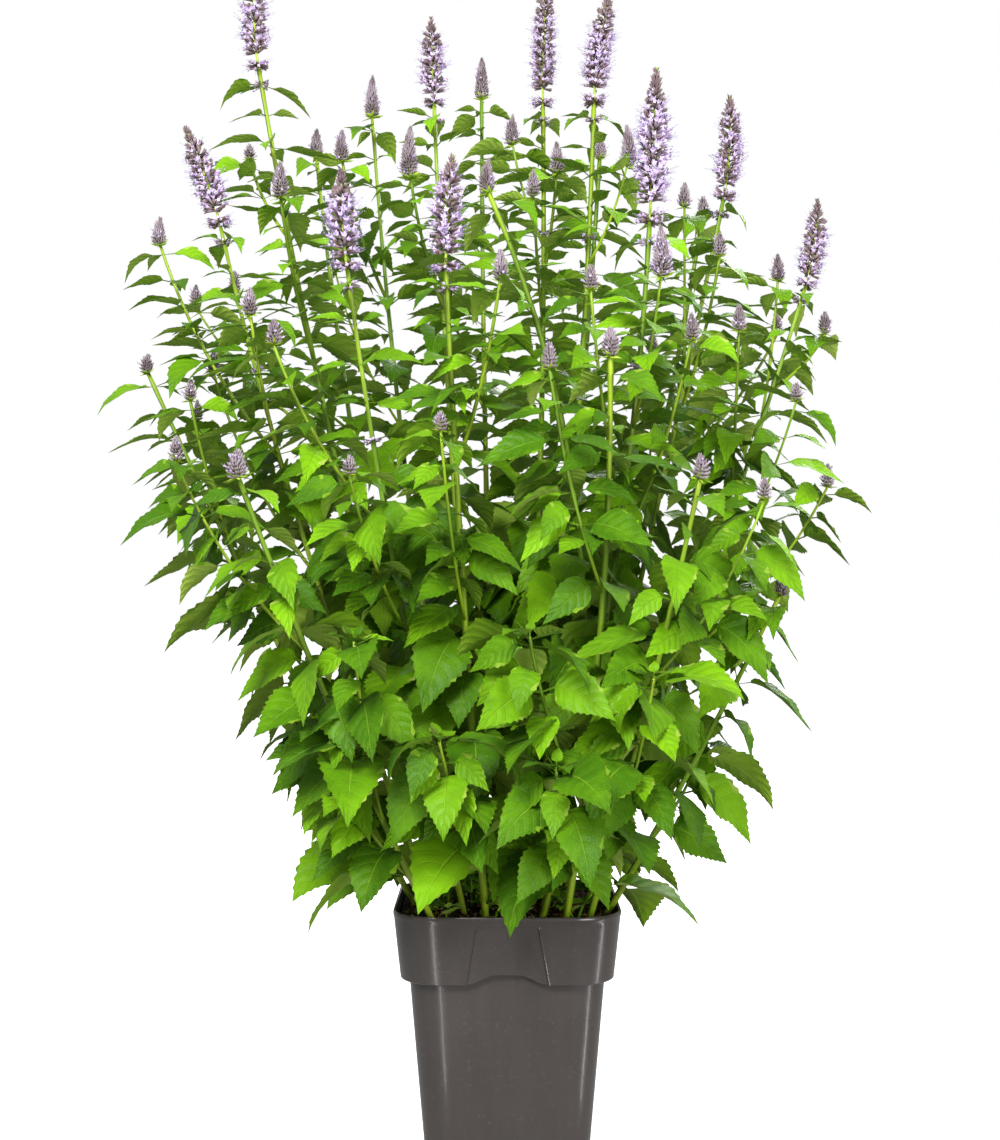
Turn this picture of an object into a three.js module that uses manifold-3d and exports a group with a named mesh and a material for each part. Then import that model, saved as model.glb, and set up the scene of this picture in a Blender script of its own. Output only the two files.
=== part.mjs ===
// A potted agastache (anise hyssop) in flower: a clump of square, leafy stems that fan out of a square
// nursery pot, each ending in a violet flower spike or in a bud.
// Units are millimetres and degrees, +Z is up, and the origin is the centre of the pot's foot.
import * as THREE from 'three';
import { mergeVertices } from 'three/addons/utils/BufferGeometryUtils.js';
import Module from 'manifold-3d';

const wasm = await Module();
wasm.setup();

// Pot: half widths across the flats, corner radii and heights
const POT = {
  height: 220, footHalf: 68, neckHalf: 81.5, neckHeight: 163, collarFootHalf: 89, rimHalf: 95,
  wall: 2.2, floor: 3, footRound: 3, lip: 2.4,
  footCorner: 26, neckCorner: 32, rimCorner: 40,
  panelTopHalf: 25, panelFootHalf: 33, panelHeight: 48, panelDepth: 1.1, arch: 8,
  holeRadius: 6.5, holeRing: 42, holes: 6,
};

// Potting soil, with a plain hole for each stem
const SOIL = { top: 211, floorGap: 0.4, wallGap: 0.5, crown: 5, lump: 1.8, holeGap: 0.45 };

// Square stems, given as the distance from the middle to a corner
const STEM = { foot: 3.7, top: 2.2, depth: 24 };
const SHOOT = { foot: 1.9, top: 1.4 };
const STEM_GAP = 0.6;

// Leaf pairs: spacing along a stem, and the size of a leaf
const LEAF = {
  firstNode: 62, lastNode: 14, internode: 97, longest: 90, petiole: 0.13, petioleBase: 5,
  broad: 0.38, slim: 0.23, rib: 1.5, ribAt: 0.36, root: 3.6, clearance: 1.3, largeFrom: 55,
  shadeRadius: 85, shadeHeight: 600, least: 30, shoot: [58, 38], lowShoot: [74, 60],
};

// Spikes: whorls of florets as [height share, reach share], each turned half a floret from the one below
const FLOWER_WHORLS = [[0.08, 0.6], [0.29, 0.95], [0.44, 1], [0.59, 0.96], [0.74, 0.76], [0.89, 0.46]];
const BUD_WHORLS = [[0.24, 0.86], [0.52, 1], [0.8, 0.62]];
const SHORT_BUD_WHORLS = [[0.3, 1], [0.66, 0.76]];
const LONG_BUD_FROM = 32;
const SMALL_BUD = [[0.36, 1], [0.5, 0.62], [1, 0.14]];
const SPIKE = { gap: 0.4, core: 0.5, notch: 0.68, tip: 0.8 };

// Every stem that stands in the soil: its foot, how far its middle bows out, where its spike begins,
// the spike as [height, radius, lean in x, lean in y], and side shoots as [height share, tip, bud length]
const STEMS = [
  { foot: [-42, 12], bow: [-12, 0], tip: [-219, 40, 944], flower: [101, 13.5, -4, 0],
    shoots: [[0.66, [-188, -60, 811], 30], [0.80, [-234, 90, 875], 14], [0.56, [-283, 90, 742], 18]] },
  { foot: [-50, -12], bow: [-14, -2], tip: [-238, -60, 787], flower: [82, 13.5, -29, 0],
    shoots: [[0.68, [-295, -20, 778], 24], [0.60, [-206, -112, 706], 22], [0.52, [-253, 0, 672], 18]] },
  { foot: [-30, -34], bow: [-6, -8], tip: [-127, -130, 740], flower: [78, 14.5, -5, 0],
    shoots: [[0.62, [-184, -140, 679], 20], [0.48, [-117, -230, 572], 14]] },
  { foot: [-14, 34], bow: [-6, 10], tip: [-68, 150, 940], flower: [82, 13, -3, 0],
    shoots: [[0.74, [-86, 60, 852], 46]] },
  { foot: [-16, -50], bow: [-2, -12], tip: [-48, -150, 736], flower: [90, 14.5, 5, 0],
    shoots: [[0.72, [-6, -184, 722], 24], [0.5, [-50, -222, 605], 14], [0.16, [-52, -196, 372], 0]] },
  { foot: [10, 38], bow: [8, 12], tip: [35, 170, 943], flower: [124, 13, 3, 0],
    shoots: [[0.78, [46, 104, 866], 28], [0.72, [24, 62, 836], 24], [0.82, [6, 140, 900], 28]] },
  { foot: [16, 16], bow: [10, 4], tip: [79, 80, 923], flower: [104, 13.5, 15, 0],
    shoots: [[0.8, [106, 38, 858], 36]] },
  { foot: [24, -14], bow: [16, -4], tip: [118, -60, 788], flower: [131, 16, 6, 0],
    shoots: [[0.72, [122, -122, 735], 40], [0.6, [66, -128, 724], 20], [0.54, [146, -124, 684], 22]] },
  { foot: [44, 28], bow: [4, 6], tip: [201, 120, 845], flower: [97, 14, 6, 0],
    shoots: [[0.74, [159, 60, 826], 22], [0.68, [186, 22, 776], 20]] },
  { foot: [58, 4], bow: [6, 0], tip: [262, 30, 750], flower: [77, 12.5, 11, 0],
    shoots: [[0.78, [246, 84, 764], 24], [0.84, [286, 68, 714], 20], [0.64, [192, -62, 700], 22],
      [0.5, [236, -84, 640], 14], [0.42, [270, -36, 572], 18]] },
  { foot: [-32, 50], bow: [-10, 16], tip: [-129, 190, 938], bud: [40, 8.5],
    shoots: [[0.76, [-152, 120, 880], 30], [0.6, [-170, 250, 800], 18]] },
  { foot: [-6, 60], bow: [-4, 20], tip: [-24, 240, 968], bud: [42, 8.5],
    shoots: [[0.6, [-60, 292, 800], 20]] },
  { foot: [22, -52], bow: [58, -12], tip: [-15, -72, 812], bud: [28, 7.5], shoots: [] },
  { foot: [44, -62], bow: [10, -10], tip: [78, -190, 664], bud: [22, 8],
    shoots: [[0.62, [31, -214, 652], 20], [0.26, [16, -216, 452], 0], [0.14, [36, -208, 352], 0]] },
  { foot: [-50, -54], bow: [-6, -12], tip: [-199, -230, 570], bud: [20, 10],
    shoots: [[0.66, [-256, -168, 586], 18], [0.3, [-116, -204, 448], 0], [0.16, [-150, -120, 372], 0]] },
  { foot: [-66, 8], bow: [-6, 0], tip: [-317, 40, 676], bud: [16, 6.5],
    shoots: [[0.6, [-262, -66, 642], 16], [0.66, [-286, 118, 640], 18]] },
  { foot: [62, -46], bow: [2, -14], tip: [144, -210, 570], bud: [18, 7],
    shoots: [[0.6, [198, -168, 556], 16], [0.28, [110, -200, 420], 0]] },
  { foot: [70, -24], bow: [4, -6], tip: [214, -140, 482], bud: [16, 6], shoots: [[0.3, [164, -40, 352], 0]] },
  { foot: [-54, 42], bow: [-12, 14], tip: [-185, 214, 906], bud: [26, 7.5],
    shoots: [[0.62, [-262, 190, 770], 20]] },
  { foot: [42, 58], bow: [8, 16], tip: [195, 240, 852], bud: [20, 7],
    shoots: [[0.6, [262, 196, 730], 20], [0.56, [150, 296, 724], 20]] },
  { foot: [20, 62], bow: [6, 22], tip: [94, 262, 914], bud: [24, 7.5],
    shoots: [[0.64, [56, 306, 790], 20]] },
];
// A side shoot's bud this long is a piece of its own, and a smaller one is joined to the shoot
const OWN_BUD_FROM = 22;

// Blade outlines as [share of the length, share of the half width], from the petiole to the tip
const BROAD_EDGE = [[0, 0.08], [0.17, 0.98], [0.4, 0.96], [0.48, 0.72]];
const SLIM_EDGE = [[0, 0.12], [0.28, 1], [0.44, 0.78]];

// Ways to set a leaf that would meet a neighbour: turn about the stem, extra droop, and size
const SETTINGS = [
  [0, 0, 1], [20, 0, 1], [-20, 0, 1], [0, 24, 1], [0, -24, 1], [38, 12, 0.9], [-38, 12, 0.9],
  [0, 0, 0.75], [24, -18, 0.75], [-24, -18, 0.75], [0, 34, 0.65], [48, 20, 0.65], [-48, 20, 0.65],
];

const UP = new THREE.Vector3(0, 0, 1);
const radians = THREE.MathUtils.degToRad;
const mix = THREE.MathUtils.lerp;

// A seeded draw between two values
function seeded(seed) {
  let state = seed;
  return (low, high) => {
    state = (state * 1664525 + 1013904223) % 4294967296;
    return low + ((high - low) * state) / 4294967296;
  };
}

// A closed solid from a closed geometry, whichever way round its faces run
function solidOf(geometry) {
  geometry.deleteAttribute('normal');
  geometry.deleteAttribute('uv');
  const merged = mergeVertices(geometry, 1e-4);
  const vertProperties = merged.attributes.position.array;
  const triVerts = new Uint32Array(merged.index.array);
  const made = new wasm.Manifold(new wasm.Mesh({ numProp: 3, vertProperties, triVerts }));
  if (made.volume() > 0) return made;
  return new wasm.Manifold(new wasm.Mesh({ numProp: 3, vertProperties, triVerts: triVerts.reverse() }));
}

// The radius of a side shoot's bud
function budRadius(length) {
  return 2.5 + 0.17 * length;
}

function facetedGeometry(points, faces) {
  const geometry = new THREE.BufferGeometry().setFromPoints(points);
  return geometry.setIndex(faces.flat());
}

// A closed skin over rings of equally many points, with flat ends
function loft(rings) {
  const count = rings[0].length;
  const points = rings.flat();
  const faces = [];
  for (let r = 0; r + 1 < rings.length; r++) {
    for (let i = 0; i < count; i++) {
      const j = (i + 1) % count;
      const [a, b, c, d] = [r * count + i, r * count + j, (r + 1) * count + j, (r + 1) * count + i];
      faces.push([a, b, c], [a, c, d]);
    }
  }
  const last = points.length - count;
  for (let i = 1; i + 1 < count; i++) faces.push([0, i + 1, i], [last, last + i, last + i + 1]);
  return facetedGeometry(points, faces);
}

// A rounded square as one ring of points: on each side a corner's arc, then points across the flat,
// which inset moves inwards and rise moves up
function squareRing(half, corner, z, across, inset = () => 0, rise = () => 0) {
  const side = [];
  for (let k = 0; k <= 3; k++) {
    const arc = new THREE.Vector3(corner, 0, 0).applyAxisAngle(UP, radians(30 * k - 90));
    side.push(new THREE.Vector3(half - corner, corner - half, z).add(arc));
  }
  across.forEach((y) => side.push(new THREE.Vector3(half - inset(y), y, z + rise(y))));
  const turns = [0, 1, 2, 3].map((turn) => (turn * Math.PI) / 2);
  return turns.flatMap((turn) => side.map((p) => p.clone().applyAxisAngle(UP, turn)));
}

// Half the width of the collar at a height
function collarHalf(z) {
  return mix(POT.collarFootHalf, POT.rimHalf, (z - POT.neckHeight) / (POT.height - POT.neckHeight));
}

// A tapered square pot with a flared collar, whose sides carry a shallow panel over an arched lower edge
function potSolid() {
  const { wall, neckHeight, height, panelDepth, neckCorner, rimCorner } = POT;
  const panelTop = neckHeight + POT.panelHeight;
  const ring = (half, corner, z, panelHalf, depth, arch) => {
    const across = [-1.06, -1, -0.45, 0.45, 1, 1.06].map((share) => share * panelHalf);
    const inset = (y) => (Math.abs(y) < 1.03 * panelHalf ? depth : 0);
    const rise = (y) => (Math.abs(y) < 0.5 * panelHalf ? arch : 0);
    return squareRing(half, corner, z, across, inset, rise);
  };
  const foot = POT.panelFootHalf;
  const top = POT.panelTopHalf;
  let pot = solidOf(loft([
    ring(POT.footHalf - POT.footRound, POT.footCorner - POT.footRound, 0, foot, 0, 0),
    ring(POT.footHalf, POT.footCorner, POT.footRound, foot, 0, 0),
    ring(POT.neckHalf, neckCorner, neckHeight + 0.5, foot, 0, POT.arch),
    ring(POT.collarFootHalf, neckCorner + 6, neckHeight, foot, panelDepth, POT.arch),
    ring(collarHalf(panelTop), rimCorner, panelTop, top, panelDepth, 0),
    ring(collarHalf(panelTop + 1.5), rimCorner, panelTop + 1.5, top, 0, 0),
    ring(POT.rimHalf, rimCorner, height - POT.lip, top, 0, 0),
    ring(POT.rimHalf - 0.5, rimCorner, height, top, 0, 0),
    ring(POT.rimHalf - wall, rimCorner - wall, height, top, 0, 0),
    ring(POT.collarFootHalf - wall, neckCorner + 4, neckHeight + wall, foot, 0, POT.arch),
    ring(POT.neckHalf - wall, neckCorner - wall, neckHeight + wall - 0.3, foot, 0, POT.arch),
    ring(POT.footHalf + 0.2 - wall, POT.footCorner - wall, POT.floor, foot, 0, 0),
  ]));
  for (let k = 0; k < POT.holes; k++) {
    const spoke = new THREE.Vector3(POT.holeRing, 0, 0).applyAxisAngle(UP, (k * 2 * Math.PI) / POT.holes);
    const hole = new THREE.CylinderGeometry(POT.holeRadius, POT.holeRadius, 4 * POT.floor, 6);
    hole.rotateX(Math.PI / 2).translate(spoke.x, spoke.y, 0);
    pot = pot.subtract(solidOf(hole));
  }
  return pot;
}

// The lumpy top of the soil, highest under the crown of the plant
function soilHeight(x, y) {
  const crown = SOIL.crown * Math.exp(-(x * x + y * y) / 3600);
  return SOIL.top + crown + SOIL.lump * Math.sin(0.19 * x + 0.6) * Math.cos(0.23 * y - 0.4);
}

function soilSolid(stemHoles) {
  const inside = POT.wall + SOIL.wallGap;
  const ring = (half, corner, z) => squareRing(half, corner, z, [-0.3 * half, 0.3 * half]);
  const shoulder = POT.neckHeight + POT.wall + POT.arch;
  const edge = collarHalf(SOIL.top) - inside - 0.6;
  const corner = POT.rimCorner - inside;
  const rings = [
    ring(POT.footHalf - inside, POT.footCorner - inside, POT.floor + SOIL.floorGap),
    ring(POT.neckHalf - inside - 0.6, POT.neckCorner - inside, shoulder + 0.4),
    ring(POT.collarFootHalf - inside - 0.6, POT.neckCorner + 3.4, shoulder + 1.5),
    ring(edge, corner, SOIL.top - 2),
  ];
  for (const share of [0.8, 0.42]) {
    const lumpy = ring(edge * share, corner * share, 0);
    lumpy.forEach((p) => p.setZ(soilHeight(p.x, p.y)));
    rings.push(lumpy);
  }
  return stemHoles.reduce((soil, hole) => soil.subtract(hole), solidOf(loft(rings)));
}

// A stem is a quadratic curve from its foot to its spike, with its middle moved by the bow
function stemCurve({ foot, bow, tip }) {
  const start = new THREE.Vector3(foot[0], foot[1], SOIL.top - STEM.depth);
  const end = new THREE.Vector3(...tip);
  const control = start.clone().lerp(end, 0.5).add(new THREE.Vector3(2 * bow[0], 2 * bow[1], 0));
  return new THREE.QuadraticBezierCurve3(start, control, end);
}

// A side shoot leaves its stem outwards and then turns up
function shootCurve(stem, [share, tip]) {
  const start = stem.getPoint(share);
  const end = new THREE.Vector3(...tip);
  const control = start.clone().lerp(end, 0.66).setZ(mix(start.z, end.z, 0.42));
  return new THREE.QuadraticBezierCurve3(start, control, end);
}

// Points round a place on a curve, square to it, at the distance that reach gives for each
function ringOn(curve, t, corners, reach, phase = 0) {
  const tangent = curve.getTangent(Math.max(t, 0));
  const side = new THREE.Vector3(1, 0, 0).addScaledVector(tangent, -tangent.x).normalize();
  const front = tangent.clone().cross(side);
  return Array.from({ length: corners }, (_, k) => {
    const a = phase + (2 * Math.PI * (k + 0.5)) / corners;
    const out = side.clone().multiplyScalar(Math.cos(a)).addScaledVector(front, Math.sin(a));
    return curve.getPoint(t).addScaledVector(out, reach(k));
  });
}

function stalkRing(stalk, t, extra = 0) {
  return ringOn(stalk.curve, t, 4, () => mix(stalk.size.foot, stalk.size.top, t) + extra, stalk.phase);
}

// The rings of a small bud that grows on from the end of its shoot
function budRings({ curve, phase, budLength }) {
  const top = curve.v2.clone().addScaledVector(UP, budLength);
  const axis = new THREE.LineCurve3(curve.v2, top);
  return SMALL_BUD.map(([t, share]) => ringOn(axis, t, 4, () => share * budRadius(budLength), phase));
}

// A stalk and its leaves as one closed skin. Each leaf opens out of one face of the square stalk, so its
// root is the face's upper edge and a point a little below it.
function leafyStalkSolid(stalk) {
  const nodes = [...stalk.nodes, { t: 1, leaves: [] }];
  const rings = [stalkRing(stalk, 0), ...nodes.map(({ t }) => stalkRing(stalk, t))];
  if (stalk.fusedBud) rings.push(...budRings(stalk));
  const points = rings.flat();
  const add = (point) => points.push(point) - 1;
  const faces = [[2, 1, 0], [3, 2, 0]];
  for (let r = 0; r + 1 < rings.length; r++) {
    for (let face = 0; face < 4; face++) {
      const [a, b] = [(face + 3) % 4, face];
      const [lowA, lowB, highB, highA] = [4 * r + a, 4 * r + b, 4 * r + 4 + b, 4 * r + 4 + a];
      const leaf = nodes[r]?.leaves.find((grown) => grown.face === face);
      if (!leaf) {
        faces.push([lowA, lowB, highB], [lowA, highB, highA]);
        continue;
      }
      const high = points[highA].clone().lerp(points[highB], 0.5);
      const low = points[lowA].clone().lerp(points[lowB], 0.5);
      const under = add(high.clone().lerp(low, LEAF.root / high.distanceTo(low)));
      faces.push([lowA, lowB, under], [lowB, highB, under], [highA, lowA, under]);
      const edge = bladeEdge(leaf, 0);
      const tip = add(leafPoint(leaf, leaf.petiole + leaf.length, 0, 0));
      const left = edge.map(([s, w]) => add(leafPoint(leaf, s, w, 0))).reverse();
      const right = edge.map(([s, w]) => add(leafPoint(leaf, s, -w, 0)));
      const rib = leaf.petiole + LEAF.ribAt * leaf.length;
      const below = [...right.toReversed(), under, ...left.toReversed(), tip];
      faces.push(...fan(add(leafPoint(leaf, rib, 0, LEAF.rib / 2)), [tip, ...left, ...right]));
      faces.push(...fan(add(leafPoint(leaf, rib, 0, -LEAF.rib / 2)), below));
      const [baseLeft, baseRight] = [left.at(-1), right[0]];
      faces.push([baseLeft, highB, highA], [baseLeft, highA, baseRight]);
      faces.push([highB, baseLeft, under], [highA, under, baseRight]);
    }
  }
  const last = points.indexOf(rings.at(-1)[0]);
  faces.push([last, last + 1, last + 2], [last, last + 2, last + 3]);
  return solidOf(facetedGeometry(points, faces));
}

// Triangles from a middle point to each side of a loop
function fan(middle, loop) {
  return loop.map((point, k) => [middle, point, loop[(k + 1) % loop.length]]);
}

// The hole that a stem stands in: along its straight lowest length, a little wider and a little deeper
function stemHole(stalk) {
  const extra = SOIL.holeGap * Math.SQRT2;
  const bottom = stalkRing(stalk, 0, extra).map((p) => p.setZ(p.z - SOIL.holeGap));
  return solidOf(loft([bottom, stalkRing(stalk, stalk.nodes[0].t, extra)]));
}

function flowerSpike(stem, spec) {
  return spikeSolid(stem, spec, FLOWER_WHORLS, 8);
}

function budSpike(stem, length, radius) {
  return spikeSolid(stem, [length, radius], length > LONG_BUD_FROM ? BUD_WHORLS : SHORT_BUD_WHORLS, 6);
}

// A spike of florets round a slim core, standing on the end of its stem
function spikeSolid(stem, [height, radius, leanX = 0, leanY = 0], whorls, corners) {
  const heading = stem.getTangent(1);
  const start = stem.getPoint(1).addScaledVector(heading, SPIKE.gap);
  const top = stem.getPoint(1).add(new THREE.Vector3(leanX, leanY, height));
  const control = start.clone().addScaledVector(heading, 0.4 * height);
  const curve = new THREE.QuadraticBezierCurve3(start, control, top);
  const rings = [];
  let valley = 0;
  whorls.forEach(([t, share], turn) => {
    const reach = share * radius;
    rings.push(ringOn(curve, valley, corners, () => SPIKE.core * reach));
    rings.push(ringOn(curve, t, corners, (k) => ((k + turn) % 2 ? reach : SPIKE.notch * reach)));
    valley = t + 0.02;
  });
  rings.push(ringOn(curve, 1, corners, () => SPIKE.tip));
  return solidOf(loft(rings));
}

// A point of a leaf: a distance along its arched midrib, a distance out over the blade, and a lift off it
function leafPoint(leaf, along, out, lift) {
  const bend = -(leaf.rise + leaf.droop);
  const total = leaf.petiole + leaf.length;
  const angle = leaf.rise + (bend * along) / total;
  const away = new THREE.Vector3(Math.cos(leaf.azimuth), Math.sin(leaf.azimuth), 0);
  const across = new THREE.Vector3(-away.y, away.x, 0);
  const normal = away.clone().multiplyScalar(-Math.sin(angle)).addScaledVector(UP, Math.cos(angle));
  const midrib = across.clone().cross(normal);
  const side = across.applyAxisAngle(midrib, leaf.roll);
  normal.applyAxisAngle(midrib, leaf.roll);
  return leaf.at.clone()
    .addScaledVector(away, (total * (Math.sin(angle) - Math.sin(leaf.rise))) / bend)
    .addScaledVector(UP, (total * (Math.cos(leaf.rise) - Math.cos(angle))) / bend)
    .addScaledVector(side, out * Math.cos(leaf.fold))
    .addScaledVector(normal, Math.abs(out) * Math.sin(leaf.fold) + lift);
}

// The outline of a blade on one side, from its petiole, as distances along and out
function bladeEdge(leaf, wider) {
  const shares = leaf.length > LEAF.largeFrom ? BROAD_EDGE : SLIM_EDGE;
  return shares.map(([u, w]) => [leaf.petiole + u * leaf.length, w * leaf.halfWidth + wider]);
}

// The room that a leaf needs: its blade and the end of its petiole, a little larger all round
function leafRoom(leaf) {
  const margin = LEAF.clearance;
  const edge = [[0.8 * leaf.petiole, 0.8 + margin], ...bladeEdge(leaf, margin)];
  const rib = leaf.petiole + LEAF.ribAt * leaf.length;
  const loop = [leafPoint(leaf, leaf.petiole + leaf.length + margin, 0, 0)];
  edge.toReversed().forEach(([s, w]) => loop.push(leafPoint(leaf, s, w, 0)));
  edge.forEach(([s, w]) => loop.push(leafPoint(leaf, s, -w, 0)));
  const off = LEAF.rib / 2 + margin;
  const points = [...loop, leafPoint(leaf, rib, 0, off), leafPoint(leaf, rib, 0, -off)];
  const round = loop.map((_, k) => k);
  const faces = [...fan(loop.length, round), ...fan(loop.length + 1, round.toReversed())];
  return solidOf(facetedGeometry(points, faces));
}

// Solids that leaves keep clear of
const taken = [];

function take(solid) {
  taken.push({ solid, box: solid.boundingBox() });
}

function isFree(solid) {
  const box = solid.boundingBox();
  return taken.every((other) => {
    const apart = [0, 1, 2].some((k) => box.max[k] < other.box.min[k] || box.min[k] > other.box.max[k]);
    return apart || solid.intersect(other.solid).isEmpty();
  });
}

// Sets a leaf in the first way that keeps clear of its neighbours, or leaves it out
function settledLeaf(wanted) {
  for (const [turn, droop, size] of SETTINGS) {
    const leaf = {
      ...wanted,
      azimuth: wanted.azimuth + radians(turn),
      droop: wanted.droop + radians(droop),
      length: wanted.length * size,
      petiole: wanted.petiole * size,
      halfWidth: wanted.halfWidth * size,
    };
    if (leaf.length < LEAF.least) continue;
    const room = leafRoom(leaf);
    if (!isFree(room)) continue;
    take(room);
    return leaf;
  }
  return null;
}

// How large a leaf is at a height up its stem: full size a third of the way up, small below the spike
function vigour(t) {
  return t < 0.34 ? mix(0.8, 1, t / 0.34) : mix(1, 0.46, ((t - 0.34) / 0.66) ** 1.2);
}

// The shaded middle of the clump is bare: a leaf whose tip would be there isn't grown
function inShade(leaf) {
  const tip = leafPoint(leaf, leaf.petiole + leaf.length, 0, 0);
  return Math.hypot(tip.x, tip.y) < LEAF.shadeRadius && tip.z < LEAF.shadeHeight;
}

// The leaf pairs that a stalk would grow, each pair a quarter turn from the last
function wantedNodes(stalk, draw, { first, last, count, longest, slimness }) {
  const { curve, phase } = stalk;
  const chord = curve.v0.distanceTo(curve.v2);
  return Array.from({ length: count }, (_, k) => {
    const t = mix(first, chord - last, count > 1 ? k / (count - 1) : 1) / chord;
    const turned = draw(-14, 14);
    const leaves = [k % 2, (k % 2) + 2].map((face) => {
      const length = longest(t) * draw(0.86, 1.12);
      return {
        at: curve.getPoint(t),
        face,
        azimuth: phase + (face * Math.PI) / 2 + radians(turned + draw(-9, 9)),
        rise: radians(draw(0, 40) - 10 * slimness(t)),
        droop: radians(draw(50, 95) - 20 * slimness(t)),
        roll: radians(draw(-38, 38)),
        fold: radians(draw(6, 20)),
        length,
        petiole: LEAF.petiole * length + LEAF.petioleBase,
        halfWidth: length * mix(LEAF.broad, LEAF.slim, slimness(t)),
      };
    });
    return { t, leaves };
  });
}

const MATERIALS = {
  pot: new THREE.MeshStandardMaterial({ color: '#4a4643', roughness: 0.35 }),
  soil: new THREE.MeshStandardMaterial({ color: '#3a271b', roughness: 1 }),
  stem: new THREE.MeshStandardMaterial({ color: '#5c9a25', roughness: 0.6 }),
  flower: new THREE.MeshStandardMaterial({ color: '#b3a0dc', roughness: 0.7 }),
  bud: new THREE.MeshStandardMaterial({ color: '#857388', roughness: 0.8 }),
};

const plant = new THREE.Group();
plant.name = 'potted_agastache';
const numbered = new Map();

function numberedName(kind) {
  numbered.set(kind, (numbered.get(kind) ?? 0) + 1);
  return `${kind}_${String(numbered.get(kind)).padStart(2, '0')}`;
}

// Joins solids into one named mesh of the plant
function addPiece(name, solids, material) {
  const mesh = wasm.Manifold.union(solids).getMesh();
  const geometry = new THREE.BufferGeometry();
  geometry.setAttribute('position', new THREE.BufferAttribute(mesh.vertProperties, 3));
  geometry.setIndex(new THREE.BufferAttribute(mesh.triVerts, 1));
  geometry.computeVertexNormals();
  const piece = new THREE.Mesh(geometry, material);
  piece.name = name;
  plant.add(piece);
}

// Stems, shoots and spikes come first, so that the leaves can be set round them
const leafyStems = STEMS.map((spec, index) => {
  const draw = seeded(1 + 150000001 * index);
  const stem = { curve: stemCurve(spec), size: STEM, phase: draw(0, Math.PI / 2) };
  const length = stem.curve.v0.distanceTo(stem.curve.v2);
  stem.nodes = wantedNodes(stem, draw, {
    first: LEAF.firstNode * draw(0.8, 1.7), last: LEAF.lastNode,
    count: Math.round((length - LEAF.firstNode) / LEAF.internode),
    longest: (t) => LEAF.longest * vigour(t), slimness: (t) => t,
  });
  const kind = spec.flower ? 'flower' : 'bud';
  const crown = spec.flower ? flowerSpike(stem.curve, spec.flower) : budSpike(stem.curve, ...spec.bud);
  take(crown);
  addPiece(numberedName(`${kind}_spike`), [crown], MATERIALS[kind]);
  const shoots = spec.shoots.map((shoot) => {
    const budLength = shoot[2];
    const side = { curve: shootCurve(stem.curve, shoot), size: SHOOT, budLength };
    side.phase = draw(0, Math.PI / 2);
    const reach = side.curve.v0.distanceTo(side.curve.v2);
    side.nodes = wantedNodes(side, draw, {
      first: 0.5 * reach, last: 8, count: reach > 125 ? 2 : 1,
      longest: (t) => mix(...(budLength ? LEAF.shoot : LEAF.lowShoot), t),
      slimness: () => (budLength ? 0.7 : 0.3),
    });
    if (!budLength) return side;
    side.fusedBud = budLength < OWN_BUD_FROM;
    if (side.fusedBud) {
      take(solidOf(loft([stalkRing(side, 1), ...budRings(side)])));
      return side;
    }
    const bud = budSpike(side.curve, budLength, budRadius(budLength));
    take(bud);
    addPiece(numberedName('bud_spike'), [bud], MATERIALS.bud);
    return side;
  });
  return [stem, ...shoots];
});
const stalks = leafyStems.flat();
for (const stalk of stalks) {
  const ts = [0, ...stalk.nodes.map(({ t }) => t), 1];
  take(solidOf(loft(ts.map((t) => stalkRing(stalk, t, STEM_GAP)))));
}

const pot = potSolid();
const soil = soilSolid(leafyStems.map(([stem]) => stemHole(stem)));
take(pot);
take(soil);
addPiece('pot', [pot], MATERIALS.pot);
addPiece('soil', [soil], MATERIALS.soil);

// The largest leaves choose their places first
const wishes = stalks.flatMap(({ nodes }) => nodes)
  .flatMap((node) => node.leaves.splice(0).map((leaf) => ({ node, leaf })))
  .filter(({ leaf }) => !inShade(leaf));
wishes.sort((a, b) => b.leaf.length - a.leaf.length);
for (const { node, leaf } of wishes) {
  const settled = settledLeaf(leaf);
  if (settled) node.leaves.push(settled);
}
for (const stalk of stalks) stalk.nodes = stalk.nodes.filter(({ leaves }) => leaves.length);
for (const parts of leafyStems) {
  addPiece(numberedName('leafy_stem'), parts.map(leafyStalkSolid), MATERIALS.stem);
}

export default plant;
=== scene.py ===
"""A potted agastache (anise hyssop) in flower, dressed over its CAD frame.

The plant's stems, shoots and leaves follow the growth rule of the part, from the same table and the same
seeded draws, so that every fine piece lies where its solid is. Lengths in the tables are millimetres, angles
are radians, +Z is up, and the origin is the centre of the pot's foot.
"""

import math
import random

import bmesh
import bpy
import numpy as np
from mathutils import Matrix, Vector, noise
from mathutils.kdtree import KDTree


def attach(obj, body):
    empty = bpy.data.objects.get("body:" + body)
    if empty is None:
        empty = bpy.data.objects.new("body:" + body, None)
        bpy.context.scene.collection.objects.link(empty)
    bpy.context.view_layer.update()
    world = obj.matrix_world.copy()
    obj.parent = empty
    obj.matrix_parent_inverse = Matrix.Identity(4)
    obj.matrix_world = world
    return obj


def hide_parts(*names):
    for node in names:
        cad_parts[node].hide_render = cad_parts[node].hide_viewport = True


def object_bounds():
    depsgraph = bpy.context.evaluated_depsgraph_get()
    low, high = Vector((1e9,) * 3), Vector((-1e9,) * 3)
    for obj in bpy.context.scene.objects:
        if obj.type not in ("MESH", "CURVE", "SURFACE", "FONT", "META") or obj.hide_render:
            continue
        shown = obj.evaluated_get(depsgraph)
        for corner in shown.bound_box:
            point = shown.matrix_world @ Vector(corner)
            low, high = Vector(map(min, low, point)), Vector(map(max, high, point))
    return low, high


bl_info = {
    "name": "Potted Agastache",
    "version": (1, 0, 0),
    "blender": (4, 5, 0),
    "location": "3D View > Sidebar > Agastache",
    "description": "Makes a potted agastache in flower, piece by piece",
    "category": "Add Mesh",
}

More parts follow.
